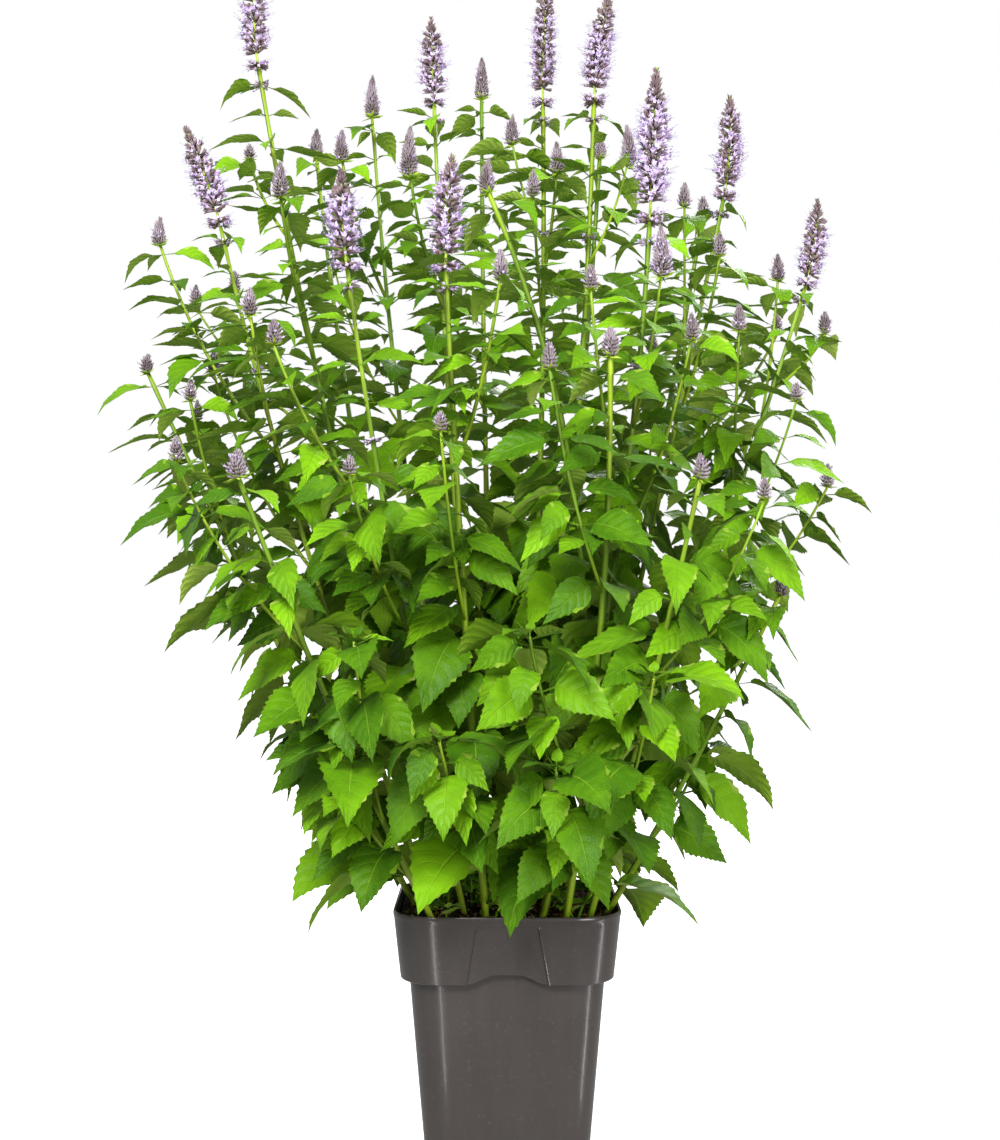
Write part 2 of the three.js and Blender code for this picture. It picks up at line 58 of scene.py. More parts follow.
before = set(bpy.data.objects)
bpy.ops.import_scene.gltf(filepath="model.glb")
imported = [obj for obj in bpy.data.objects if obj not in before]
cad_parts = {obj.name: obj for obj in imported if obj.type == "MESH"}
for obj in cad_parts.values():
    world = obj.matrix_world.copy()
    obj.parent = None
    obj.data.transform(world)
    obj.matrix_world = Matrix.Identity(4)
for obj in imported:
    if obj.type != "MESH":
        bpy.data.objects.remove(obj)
CAD_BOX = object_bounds()
UP = Vector((0, 0, 1))

# Pot: half widths across the flats, corner radii and heights
POT = dict(
    height=220, foot=68, neck=81.5, neck_z=163, collar=89, rim=95, wall=2.2, floor=3,
    foot_corner=26, neck_corner=32, rim_corner=40,
    panel_top=25, panel_foot=33, panel_height=48, panel_depth=1.1, arch=8,
    hole=6.5, hole_ring=42, holes=6,
)

# The rounding of the pot's foot, the level of the soil and its gap to the wall, how deep the stems stand in
# it, and how many bits are strewn over it before those beyond its corners are left out
FOOT_BEVEL = 3
SOIL_TOP = 211
SOIL_GAP = 0.5
STEM_DEPTH = 24
BITS = 760

# Distance from a stalk's middle to its corners, at its foot and at its top
STEM = (3.7, 2.2)
SHOOT = (1.9, 1.4)

# Leaf pairs of a stem: how far the first is from its foot, how far the last is from its top, and how far
# two of them are apart
FIRST_NODE = 62
LAST_NODE = 14
INTERNODE = 97
LONGEST_LEAF = 90

# A leaf longer than this gets the finer of the two blades
LARGE_LEAF = 52
FEWEST_LEAVES = 300

# The heights between which small leaves turn from broad and hanging to slender and spread, and those between
# which all leaves turn to the young green
SLENDER_BETWEEN = (390, 760)
YOUNG_BETWEEN = (500, 950)

# Half width of the square over the pot that small leaves leave open, and the lowest place for one beside it
OPEN_HALF = 124
LOWEST_LEAF = 190

# Every stem: foot, how far its middle bows out, where its spike begins, its spike as (height, radius, lean)
# with F for a flower spike and B for a bud, and side shoots as (height share, tip, bud length)
STEMS = [
    ((-42, 12), (-12, 0), (-219, 40, 944), ("F", 101, 13.5, -4),
     [(0.66, (-188, -60, 811), 30), (0.80, (-234, 90, 875), 14), (0.56, (-283, 90, 742), 18)]),
    ((-50, -12), (-14, -2), (-238, -60, 787), ("F", 82, 13.5, -29),
     [(0.68, (-295, -20, 778), 24), (0.60, (-206, -112, 706), 22), (0.52, (-253, 0, 672), 18)]),
    ((-30, -34), (-6, -8), (-127, -130, 740), ("F", 78, 14.5, -5),
     [(0.62, (-184, -140, 679), 20), (0.48, (-117, -230, 572), 14)]),
    ((-14, 34), (-6, 10), (-68, 150, 940), ("F", 82, 13, -3), [(0.74, (-86, 60, 852), 46)]),
    ((-16, -50), (-2, -12), (-48, -150, 736), ("F", 90, 14.5, 5),
     [(0.72, (-6, -184, 722), 24), (0.5, (-50, -222, 605), 14), (0.16, (-52, -196, 372), 0)]),
    ((10, 38), (8, 12), (35, 170, 943), ("F", 124, 13, 3),
     [(0.78, (46, 104, 866), 28), (0.72, (24, 62, 836), 24), (0.82, (6, 140, 900), 28)]),
    ((16, 16), (10, 4), (79, 80, 923), ("F", 104, 13.5, 15), [(0.8, (106, 38, 858), 36)]),
    ((24, -14), (16, -4), (118, -60, 788), ("F", 131, 16, 6),
     [(0.72, (122, -122, 735), 40), (0.6, (66, -128, 724), 20), (0.54, (146, -124, 684), 22)]),
    ((44, 28), (4, 6), (201, 120, 845), ("F", 97, 14, 6),
     [(0.74, (159, 60, 826), 22), (0.68, (186, 22, 776), 20)]),
    ((58, 4), (6, 0), (262, 30, 750), ("F", 77, 12.5, 11),
     [(0.78, (246, 84, 764), 24), (0.84, (286, 68, 714), 20), (0.64, (192, -62, 700), 22),
      (0.5, (236, -84, 640), 14), (0.42, (270, -36, 572), 18)]),
    ((-32, 50), (-10, 16), (-129, 190, 938), ("B", 40, 8.5, 0),
     [(0.76, (-152, 120, 880), 30), (0.6, (-170, 250, 800), 18)]),
    ((-6, 60), (-4, 20), (-24, 240, 968), ("B", 42, 8.5, 0), [(0.6, (-60, 292, 800), 20)]),
    ((22, -52), (58, -12), (-15, -72, 812), ("B", 28, 7.5, 0), []),
    ((44, -62), (10, -10), (78, -190, 664), ("B", 22, 8, 0),
     [(0.62, (31, -214, 652), 20), (0.26, (16, -216, 452), 0), (0.14, (36, -208, 352), 0)]),
    ((-50, -54), (-6, -12), (-199, -230, 570), ("B", 20, 10, 0),
     [(0.66, (-256, -168, 586), 18), (0.3, (-116, -204, 448), 0), (0.16, (-150, -120, 372), 0)]),
    ((-66, 8), (-6, 0), (-317, 40, 676), ("B", 16, 6.5, 0),
     [(0.6, (-262, -66, 642), 16), (0.66, (-286, 118, 640), 18)]),
    ((62, -46), (2, -14), (144, -210, 570), ("B", 18, 7, 0),
     [(0.6, (198, -168, 556), 16), (0.28, (110, -200, 420), 0)]),
    ((70, -24), (4, -6), (214, -140, 482), ("B", 16, 6, 0), [(0.3, (164, -40, 352), 0)]),
    ((-54, 42), (-12, 14), (-185, 214, 906), ("B", 26, 7.5, 0), [(0.62, (-262, 190, 770), 20)]),
    ((42, 58), (8, 16), (195, 240, 852), ("B", 20, 7, 0),
     [(0.6, (262, 196, 730), 20), (0.56, (150, 296, 724), 20)]),
    ((20, 62), (6, 22), (94, 262, 914), ("B", 24, 7.5, 0), [(0.64, (56, 306, 790), 20)]),
]

# A shoot's bud of this length or more is a solid of its own, and one bud shows more open florets than the rest
OWN_BUD_FROM = 22
MOST_OPEN_BUD = "bud_spike_10"

# Seeds of the random draws; a stem or a spike adds its number
SEEDS = dict(filling=7, bits=11, sprouts=23, stems=100, flowers=300, buds=500)

# Ways in which a leaf may have been set clear of its neighbours: turn, extra droop in degrees, and size
SETTINGS = [
    (0, 0, 1), (20, 0, 1), (-20, 0, 1), (0, 24, 1), (0, -24, 1), (38, 12, 0.9), (-38, 12, 0.9),
    (0, 0, 0.75), (24, -18, 0.75), (-24, -18, 0.75), (0, 34, 0.65), (48, 20, 0.65), (-48, 20, 0.65),
]

# Half width of a broad blade and of a slender one from the petiole to the tip, as shares
BLADE = [(0, 0.05), (0.05, 0.42), (0.12, 0.74), (0.22, 0.95), (0.33, 1.02), (0.46, 0.94), (0.6, 0.74),
         (0.74, 0.48), (0.87, 0.22), (0.95, 0.07), (1, 0)]
LANCE = [(0, 0.04), (0.05, 0.4), (0.12, 0.72), (0.22, 0.96), (0.33, 1), (0.46, 0.85), (0.6, 0.59),
         (0.74, 0.32), (0.87, 0.13), (0.95, 0.05), (1, 0)]

# Reach of the florets from the foot to the tip of a spike, as shares of its radius
FLOWER_REACH = [(0, 0.72), (0.06, 0.82), (0.12, 0.74), (0.2, 0.86), (0.32, 1), (0.5, 1), (0.66, 0.9),
                (0.8, 0.66), (0.92, 0.4), (1, 0.16)]
BUD_REACH = [(0, 0.62), (0.12, 0.95), (0.28, 1), (0.5, 0.84), (0.7, 0.58), (0.86, 0.34), (1, 0.1)]

# Lamps in metres: place, target, width and height, and power as a share of the key's
LAMPS = {
    "key": ((-0.6, -2.2, 2.1), (0, 0, 0.55), (1.0, 1.0), 1),
    "fill": ((1.3, -2.1, 0.5), (0, 0, 0.4), (1.2, 1.0), 0.38),
    "back": ((0.7, 2.2, 1.7), (0, 0, 0.5), (1.4, 1.0), 0.4),
    "streak_right": ((0.183, -0.105, 0.087), (0.063, -0.07, 0.085), (0.006, 0.17), 0.0005),
    "streak_left": ((-0.111, -0.211, 0.087), (-0.052, -0.072, 0.085), (0.013, 0.17), 0.0005),
}

# The camera's place across and up, and how far the floor lies below the pot's foot, in metres
CAMERA_ASIDE = -0.006
CAMERA_HEIGHT = 0.502
FLOOR_DROP = 0.0008


def linear(hex_colour):
    """The linear colour of an sRGB hex value."""
    parts = [int(hex_colour[k:k + 2], 16) / 255 for k in (1, 3, 5)]
    return tuple(p / 12.92 if p <= 0.04045 else ((p + 0.055) / 1.055) ** 2.4 for p in parts)


def colour_prop(name, description, hex_colour):
    return bpy.props.FloatVectorProperty(
        name=name, description=description, subtype="COLOR", size=3, min=0, max=1, default=linear(hex_colour))


class AGASTACHE_PG_sizes(bpy.types.PropertyGroup):
    """Sizes of the fine forms that dress the frame."""

    blade_thickness: bpy.props.FloatProperty(
        name="Blade thickness", description="Thickness of a leaf along its midrib",
        default=0.0009, min=0.0002, unit="LENGTH")
    tooth: bpy.props.FloatProperty(
        name="Tooth depth", description="How deep the teeth of a leaf are cut, as a share of its half width",
        default=0.05, min=0, max=0.3)
    whorl_spacing: bpy.props.FloatProperty(
        name="Whorl spacing", description="Distance between two whorls of a flower spike",
        default=0.0058, min=0.003, unit="LENGTH")
    floret: bpy.props.FloatProperty(
        name="Floret length", description="Length of one floret from its calyx to its lip",
        default=0.0105, min=0.004, unit="LENGTH")
    fullness: bpy.props.FloatProperty(
        name="Fullness", description="How many of the small leaves between the large ones are grown",
        default=1.0, min=0, max=1, subtype="FACTOR")


class AGASTACHE_PG_colours(bpy.types.PropertyGroup):
    """Colours of the plant, its pot and the potting mix."""

    leaf: colour_prop("Leaf", "Upper side of a grown leaf", "#376503")
    young_leaf: colour_prop("Young leaf", "Upper side of a young leaf", "#84be10")
    leaf_under: colour_prop("Leaf underside", "Felted underside of a leaf", "#6b920f")
    stem: colour_prop("Stem", "Green of the square stems", "#9dbb2e")
    corolla: colour_prop("Corolla", "Lilac of the open florets", "#eadaf4")
    calyx: colour_prop("Calyx", "Dusky violet of the calyx tips", "#6b575c")
    pot: colour_prop("Pot", "Dark grey of the pot", "#3a3532")
    soil: colour_prop("Potting mix", "Brown of the damp peat", "#3a2415")


class AGASTACHE_PG_stage(bpy.types.PropertyGroup):
    """Light and camera."""

    key: bpy.props.FloatProperty(
        name="Key light", description="Power of the large soft light above the camera",
        default=102, min=0, unit="POWER")
    sky: bpy.props.FloatProperty(
        name="Sky", description="Strength of the even white light from all round", default=0.42, min=0)
    distance: bpy.props.FloatProperty(
        name="Camera distance", description="Distance from the camera to the middle of the pot",
        default=1.6, min=0.5, unit="LENGTH")
    lens: bpy.props.FloatProperty(
        name="Lens", description="Focal length of the camera in millimetres", default=58.61, min=10)


def sizes():
    return bpy.context.scene.agastache_sizes


def colours():
    return bpy.context.scene.agastache_colours


class Draws:
    """A seeded stream of draws between two values, the same as the part's."""

    def __init__(self, seed):
        self.state = seed

    def __call__(self, low, high):
        self.state = (self.state * 1664525 + 1013904223) % 4294967296
        return low + (high - low) * self.state / 4294967296


def mix(a, b, share):
    return a + (b - a) * share


def smooth(low, high, x):
    x = np.clip((x - low) / (high - low), 0, 1)
    return x * x * (3 - 2 * x)


def profile(table, x):
    """A value read off a table of (place, value) pairs, between its rows."""
    return np.interp(x, *zip(*table))


class Curve:
    """A quadratic curve, as every stem, shoot and spike is."""

    def __init__(self, start, control, end):
        self.start, self.control, self.end = Vector(start), Vector(control), Vector(end)

    def point(self, t):
        return self.start * (1 - t) ** 2 + self.control * (2 * t * (1 - t)) + self.end * t ** 2

    def tangent(self, t):
        way = (self.control - self.start) * (1 - t) + (self.end - self.control) * t
        return way.normalized()

    def chord(self):
        return (self.end - self.start).length

    def frame(self, t):
        """Two directions square to the curve."""
        tangent = self.tangent(t)
        side = (Vector((1, 0, 0)) - tangent * tangent.x).normalized()
        return side, tangent.cross(side)


def stem_curve(foot, bow, tip):
    start, end = Vector((*foot, SOIL_TOP - STEM_DEPTH)), Vector(tip)
    return Curve(start, (start + end) / 2 + Vector((2 * bow[0], 2 * bow[1], 0)), end)


def shoot_curve(stem, share, tip):
    start, end = stem.point(share), Vector(tip)
    control = start.lerp(end, 0.66)
    control.z = mix(start.z, end.z, 0.42)
    return Curve(start, control, end)


def vigour(t):
    """How large a leaf is at a height up its stem."""
    return mix(0.8, 1, t / 0.34) if t < 0.34 else mix(1, 0.46, ((t - 0.34) / 0.66) ** 1.2)


def leaf_shape(curve, t, azimuth, length, slim, rise, droop, roll, fold, early=1):
    """A leaf's setting; early above 1 bends it near its foot, so that its blade hangs nearly straight."""
    return dict(at=curve.point(t), azimuth=azimuth, length=length, slim=slim, rise=rise, droop=droop,
                roll=roll, fold=fold, early=early, petiole=0.13 * length + 5,
                half=length * mix(0.38, 0.23, slim))


def wanted_leaves(stalk, draw, first, last, count, longest, slimness):
    """The leaf pairs that a stalk would grow, each pair a quarter turn from the last."""
    curve, chord = stalk["curve"], stalk["curve"].chord()
    for k in range(count):
        t = mix(first, chord - last, k / (count - 1) if count > 1 else 1) / chord
        stalk["nodes"].append(t)
        turned = draw(-14, 14)
        for face in (k % 2, k % 2 + 2):
            length, slim = longest(t) * draw(0.86, 1.12), slimness(t)
            azimuth = stalk["phase"] + face * math.pi / 2 + math.radians(turned + draw(-9, 9))
            rise = math.radians(draw(0, 40) - 10 * slim)
            droop = math.radians(draw(50, 95) - 20 * slim)
            roll, fold = math.radians(draw(-38, 38)), math.radians(draw(6, 20))
            stalk["leaves"].append(leaf_shape(curve, t, azimuth, length, slim, rise, droop, roll, fold))


def leaf_point(leaf, along, out, lift):
    """Points of a leaf: distances along its bent midrib, out over the blade, and lifts off it."""
    along, out, lift = (np.asarray(each, float)[..., None] for each in (along, out, lift))
    total, steps = leaf["petiole"] + leaf["length"], np.linspace(0, 1, 33)
    slopes = leaf["rise"] - (leaf["rise"] + leaf["droop"]) * (1 - (1 - steps) ** leaf["early"])
    turn = np.diff(slopes) / 2
    middle, chord = slopes[:-1] + turn, total / 32 * np.sinc(turn / math.pi)
    share = along / total
    reach = np.interp(share, steps, np.append(0, np.cumsum(chord * np.cos(middle))))
    climb = np.interp(share, steps, np.append(0, np.cumsum(chord * np.sin(middle))))
    angle = np.interp(share, steps, slopes)
    away = np.array((math.cos(leaf["azimuth"]), math.sin(leaf["azimuth"]), 0))
    across, up = np.array((-away[1], away[0], 0)), np.array((0, 0, 1))
    normal = up * np.cos(angle) - away * np.sin(angle)
    side = across * math.cos(leaf["roll"]) + normal * math.sin(leaf["roll"])
    normal = normal * math.cos(leaf["roll"]) - across * math.sin(leaf["roll"])
    return (np.array(leaf["at"]) + away * reach + up * climb + side * out * math.cos(leaf["fold"])
            + normal * (np.abs(out) * math.sin(leaf["fold"]) + lift))


def leaf_tip(leaf):
    return leaf_point(leaf, leaf["petiole"] + leaf["length"], 0, 0)


def grown_leaf(wanted, corners):
    """The setting of a leaf whose tip is a corner of the solid, or None where the solid has no such leaf."""
    for turn, droop, size in SETTINGS:
        leaf = dict(wanted, azimuth=wanted["azimuth"] + math.radians(turn),
                    droop=wanted["droop"] + math.radians(droop), length=wanted["length"] * size,
                    petiole=wanted["petiole"] * size, half=wanted["half"] * size)
        if corners.find(leaf_tip(leaf) / 1000)[2] < 4e-5:
            return leaf
    return None


def grown_plant():
    """Every stem with its shoots, their spikes and the leaves that the solids hold."""
    plant, names = [], {"F": 0, "B": 0}

    def spike(kind, curve, height, radius, lean=0):
        names[kind] += 1
        node = ("flower_spike_%02d" if kind == "F" else "bud_spike_%02d") % names[kind]
        axis = spike_curve(curve, height, lean)
        return dict(node=node, kind=kind, curve=axis, height=height, radius=radius)

    for index, (foot, bow, tip, crown, shoots) in enumerate(STEMS):
        draw = Draws(1 + 150000001 * index)
        stem = dict(curve=stem_curve(foot, bow, tip), size=STEM, phase=draw(0, math.pi / 2),
                    nodes=[], leaves=[])
        pairs = round((stem["curve"].chord() - FIRST_NODE) / INTERNODE)
        wanted_leaves(stem, draw, FIRST_NODE * draw(0.8, 1.7), LAST_NODE, pairs,
                      lambda t: LONGEST_LEAF * vigour(t), lambda t: t)
        stem["spike"] = spike(crown[0], stem["curve"], *crown[1:])
        stalks = [stem]
        for share, end, bud in shoots:
            shoot = dict(curve=shoot_curve(stem["curve"], share, end), size=SHOOT, phase=draw(0, math.pi / 2),
                         nodes=[], leaves=[], bud=bud)
            reach = shoot["curve"].chord()
            long, slim = ((58, 38), 0.7) if bud else ((74, 60), 0.3)
            wanted_leaves(shoot, draw, 0.5 * reach, 8, 2 if reach > 125 else 1,
                          lambda t, long=long: mix(*long, t), lambda t, slim=slim: slim)
            if bud >= OWN_BUD_FROM:
                shoot["spike"] = spike("B", shoot["curve"], bud, 2.5 + 0.17 * bud)
            stalks.append(shoot)
        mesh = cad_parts["leafy_stem_%02d" % (index + 1)].data
        corners = KDTree(len(mesh.vertices))
        for vertex in mesh.vertices:
            corners.insert(vertex.co, vertex.index)
        corners.balance()
        for stalk in stalks:
            stalk["leaves"] = [leaf for leaf in (grown_leaf(w, corners) for w in stalk["leaves"]) if leaf]
        plant.append(stalks)
    return plant


def grown_spikes(kind):
    """The spikes of one kind, F for flowers or B for buds, that have a solid of their own."""
    every = (stalk["spike"] for stalks in grown_plant() for stalk in stalks if "spike" in stalk)
    return [spike for spike in every if spike["kind"] == kind]


def spike_curve(stem, height, lean):
    heading = stem.tangent(1)
    start = stem.end + heading * 0.4
    return Curve(start, start + heading * (0.4 * height), stem.end + Vector((lean, 0, height)))


class Room:
    """The places that are taken, kept in cells, so that a new leaf can be set clear of its neighbours."""

    CELL = 12

    def __init__(self):
        self.cells = {}

    def cell(self, spot):
        return tuple(int(c // self.CELL) for c in spot)

    def take(self, spot):
        self.cells.setdefault(self.cell(spot), []).append(spot)

    def near(self, spot, distance):
        x, y, z = self.cell(spot)
        around = ((x + i, y + j, z + k) for i in (-1, 0, 1) for j in (-1, 0, 1) for k in (-1, 0, 1))
        return any(math.dist(spot, other) < distance for cell in around for other in self.cells.get(cell, ()))


def over_rim(spot):
    """Whether a place is in the open space over the pot's rim, which is higher at the front."""
    return spot[2] < 298 - 0.4 * spot[1] and max(abs(spot[0]), abs(spot[1])) < OPEN_HALF


def rosette(curve, phase, draw):
    """Four small leaves round two smaller and steeper ones, on the end of a shoot."""
    leaves = []
    for k in range(6):
        inner = k > 3
        azimuth = phase + (k + 0.5 * inner) * math.pi / 2 + draw(-0.2, 0.2)
        length = draw(9, 13) if inner else draw(17, 29)
        rise = draw(0.9, 1.3) if inner else draw(0.3, 0.8)
        droop = draw(-0.9, -0.5) if inner else draw(-0.1, 0.6)
        roll, fold = draw(-0.3, 0.3), draw(0.1, 0.4)
        leaves.append(leaf_shape(
            curve, 0.998 if inner else 0.985, azimuth, length, 0.1, rise, droop, roll, fold))
    return leaves


def filling_leaves(plant, fullness):
    """Adds small leaves at the nodes and up each internode, and a rosette on each shoot without a bud.

    High up they are slender and spread, low down they are broad and hang with their faces outwards. A leaf is
    left out where its midrib comes within a few millimetres of another's or of a spike, close over the rim of
    the pot, or out of the CAD box.
    """
    draw = random.Random(SEEDS["filling"]).uniform
    room = Room()
    for stalk in (stalk for stalks in plant for stalk in stalks):
        for leaf in stalk["leaves"]:
            for share in (0.3, 0.5, 0.7, 0.95):
                room.take(tuple(leaf_point(leaf, share * (leaf["petiole"] + leaf["length"]), 0, 0)))
        if "spike" in stalk:
            for t in (0, 0.25, 0.5, 0.75, 1):
                room.take(tuple(stalk["spike"]["curve"].point(t)))
    low, high = (Vector(side) * 1000 for side in CAD_BOX)

    def free(leaf, distance):
        total = leaf["petiole"] + leaf["length"]
        spots = [tuple(leaf_point(leaf, share * total, 0, 0)) for share in (0.4, 0.6, 0.8, 1)]
        for spot in spots:
            if any(spot[k] < low[k] + 4 or spot[k] > high[k] - 4 for k in range(3)):
                return False
            if over_rim(spot) or spot[2] < LOWEST_LEAF or room.near(spot, distance):
                return False
        for spot in spots:
            room.take(spot)
        return True

    for stalks in plant:
        for number, stalk in enumerate(stalks):
            curve, phase = stalk["curve"], stalk["phase"]
            reach = (lambda t: 92 * vigour(t)) if number == 0 else (lambda t: 56)
            slim = (lambda t: 0.9 * t) if number == 0 else (lambda t: 0.5)
            # Each place up the stalk with the size of its leaves and how many may grow there
            places = [(t, 0.62, 2) for t in stalk["nodes"]]
            ends = [0.04 if number == 0 else 0.2, *stalk["nodes"]]
            places += [(mix(a, b, 0.5), 0.9, 4) for a, b in zip(ends, ends[1:])]
            places += [(mix(a, b, share), 0.62, 3) for a, b in zip(ends, ends[1:]) for share in (0.25, 0.75)]
            for t, size, tries in places:
                spot = curve.point(t)
                high_up = smooth(*SLENDER_BETWEEN, spot.z)
                for k in range(tries):
                    if draw(0, 1) > fullness:
                        continue
                    length = min(reach(t) * size * draw(0.75, 1.08) * mix(1.3, 1.05, high_up), draw(54, 80))
                    azimuth = phase + (k + 0.5 * (size < 0.8)) * math.pi / 2 + draw(-0.5, 0.5)
                    facing = math.sin(azimuth - math.atan2(spot.y - 30, spot.x))
                    leaf = leaf_shape(
                        curve, t, azimuth, length, min(slim(t) + 0.5 * high_up, 1.32), draw(0.0, 0.75),
                        mix(draw(0.45, 1.3), draw(-0.1, 0.75), high_up),
                        mix(1.1, 0.45, high_up) * facing + draw(-0.35, 0.35), draw(0.08, 0.3),
                        mix(draw(2, 4), draw(1, 2), high_up))
                    if free(leaf, 0.1 * length + mix(3.4, 5.4, high_up)):
                        stalk["leaves"].append(leaf)
            if stalk.get("bud") == 0:
                stalk["leaves"] += rosette(curve, phase, draw)


def mesh_of(bm, name):
    """Turns a bmesh into a mesh and frees it."""
    mesh = bpy.data.meshes.new(name)
    bm.to_mesh(mesh)
    bm.free()
    return mesh


def linked(name, data):
    """A new object in the scene."""
    made = bpy.data.objects.new(name, data)
    bpy.context.scene.collection.objects.link(made)
    return made


def plant_bmesh():
    """A bmesh with the layers that the plant's materials read."""
    bm = bmesh.new()
    bm.loops.layers.uv.new("UVMap")
    bm.verts.layers.float.new("tint")
    return bm


def finished(bm, name, node_names, materials):
    """Turns a bmesh in millimetres into a piece of the plant in metres, in place of its CAD nodes."""
    bmesh.ops.scale(bm, verts=bm.verts, vec=(0.001, 0.001, 0.001))
    for face in bm.faces:
        face.smooth = True
    mesh = mesh_of(bm, name)
    for material in materials:
        mesh.materials.append(material)
    piece = linked(name, mesh)
    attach(piece, "root")
    if node_names:
        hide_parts(*node_names)
    return piece


def template(shape, material):
    """A small mesh that a bmesh function shapes once, to be stamped many times."""
    bm = bmesh.new()
    bm.loops.layers.uv.new("UVMap")
    shape(bm)
    bmesh.ops.recalc_face_normals(bm, faces=bm.faces)
    for face in bm.faces:
        face.smooth, face.material_index = True, material
    mesh = mesh_of(bm, "template")
    for _ in range(material + 1):
        mesh.materials.append(None)
    return mesh


def stamp(bm, mesh, at, heading, size, spin=0.0):
    """Adds a template with its +Z along a heading."""
    turn = heading.to_track_quat("Z", "Y").to_matrix().to_4x4()
    copy = mesh.copy()
    copy.transform(Matrix.Translation(at) @ turn @ Matrix.Rotation(spin, 4, "Z") @ Matrix.Scale(size, 4))
    bm.from_mesh(copy)
    bpy.data.meshes.remove(copy)


def leaf_tint(leaf, large, draw):
    """How young a leaf looks, from 0 to 1: the more so the higher it sits, and if it is small."""
    height = smooth(*YOUNG_BETWEEN, leaf["at"].z)
    return min(max(0.08 + 0.3 * height + (0 if large else 0.14) + draw(-0.3, 0.55), 0), 1)


class Blade:
    """A leaf's two skins on a unit square, closed along the margin, to be bent to each leaf in turn.

    The rows lie at the given shares of the blade, from -1 at the petiole's foot over 0 at the blade's foot to
    1 at the tip. The margin is cut finer than the skins, so that it carries the teeth on a few dozen faces.
    """

    CUTS = 3

    def __init__(self, shares, columns, upper, under):
        bm = plant_bmesh()
        uv = bm.loops.layers.uv["UVMap"]
        rows = len(shares) - 1
        for side, material in ((1, upper), (-1, under)):
            verts = bmesh.ops.create_grid(bm, x_segments=rows, y_segments=columns, size=0.5)["verts"]
            faces = list({face for vert in verts for face in vert.link_faces})
            for face in faces:
                face.material_index, face.smooth = material, True
                for loop in face.loops:
                    loop[uv].uv = (shares[round((loop.vert.co.x + 0.5) * rows)], loop.vert.co.y + 0.5)
            for vert in verts:
                vert.co.z = side * (1 - 4 * vert.co.y ** 2) * (abs(vert.co.x) < 0.499)
            if side < 0:
                bmesh.ops.reverse_faces(bm, faces=faces)
        bmesh.ops.pointmerge(bm, verts=[vert for vert in bm.verts if vert.co.x > 0.499], merge_co=(0.5, 0, 0))
        bmesh.ops.remove_doubles(bm, verts=bm.verts, dist=1e-4)
        margin = [edge for edge in bm.edges if abs(edge.verts[0].co.y + edge.verts[1].co.y) > 0.999
                  and edge.verts[0].co.x + edge.verts[1].co.x > 3.5 / rows - 1]
        bmesh.ops.subdivide_edges(bm, edges=margin, cuts=self.CUTS)
        for edge in bm.edges:
            edge.smooth = len({face.material_index for face in edge.link_faces}) == 1
        self.mesh = mesh_of(bm, "blade")
        places = np.empty(3 * len(self.mesh.vertices), np.float32)
        self.mesh.vertices.foreach_get("co", places)
        x, y, self.lift = places.reshape(-1, 3).T.astype(float)
        step = (x + 0.5) * rows
        self.place, self.v, self.tip = np.interp(step, range(rows + 1), shares), 2 * y, x > 0.499
        self.odd = np.round(step * (self.CUTS + 1)) % 2
        self.spacing = 1 / (rows * (self.CUTS + 1))

    def add(self, bm, leaf, tint, tooth, thickness):
        """Bends the blade to a leaf, cuts its teeth, and adds it to a bmesh."""
        place, v, length = self.place, self.v, leaf["length"]
        stalk_half = 0.5 + 0.007 * length
        cut = smooth(0.01, 0.12, place) * (1 - smooth(0.88, 1, place)) * (np.abs(v) > 0.999)
        outline = mix(profile(BLADE, place), profile(LANCE, place), min(leaf["slim"], 1))
        blade = np.maximum(outline * leaf["half"], stalk_half * (1 - smooth(0, 0.2, place)))
        blade *= 1 + tooth * cut * (2 * self.odd - 1)
        half = np.where(place > 0, blade, stalk_half) * ~self.tip
        along = leaf["petiole"] * (1 + np.minimum(place, 0)) + length * np.maximum(place, 0)
        along += cut * self.odd * length * self.spacing * 0.6
        heart = mix(0.34, 0.1, min(leaf["slim"], 1)) * (1 - smooth(0.04, 0.45, place))
        along -= np.where(place > 0, heart * half * v * v, 0)
        turns = 1.6 + leaf["fold"] * 4
        ripple = (np.sin(leaf["roll"] * 5 + turns * 2 * math.pi * place) * 0.07 * half * v * v
                  * smooth(0, 0.12, place) * (1 - smooth(0.86, 1, place)))
        spots = leaf_point(leaf, along, v * half, ripple + self.lift * thickness / 2)
        self.mesh.vertices.foreach_set("co", spots.astype(np.float32).ravel())
        self.mesh.attributes["tint"].data.foreach_set("value", np.full(len(v), tint, np.float32))
        bm.from_mesh(self.mesh)


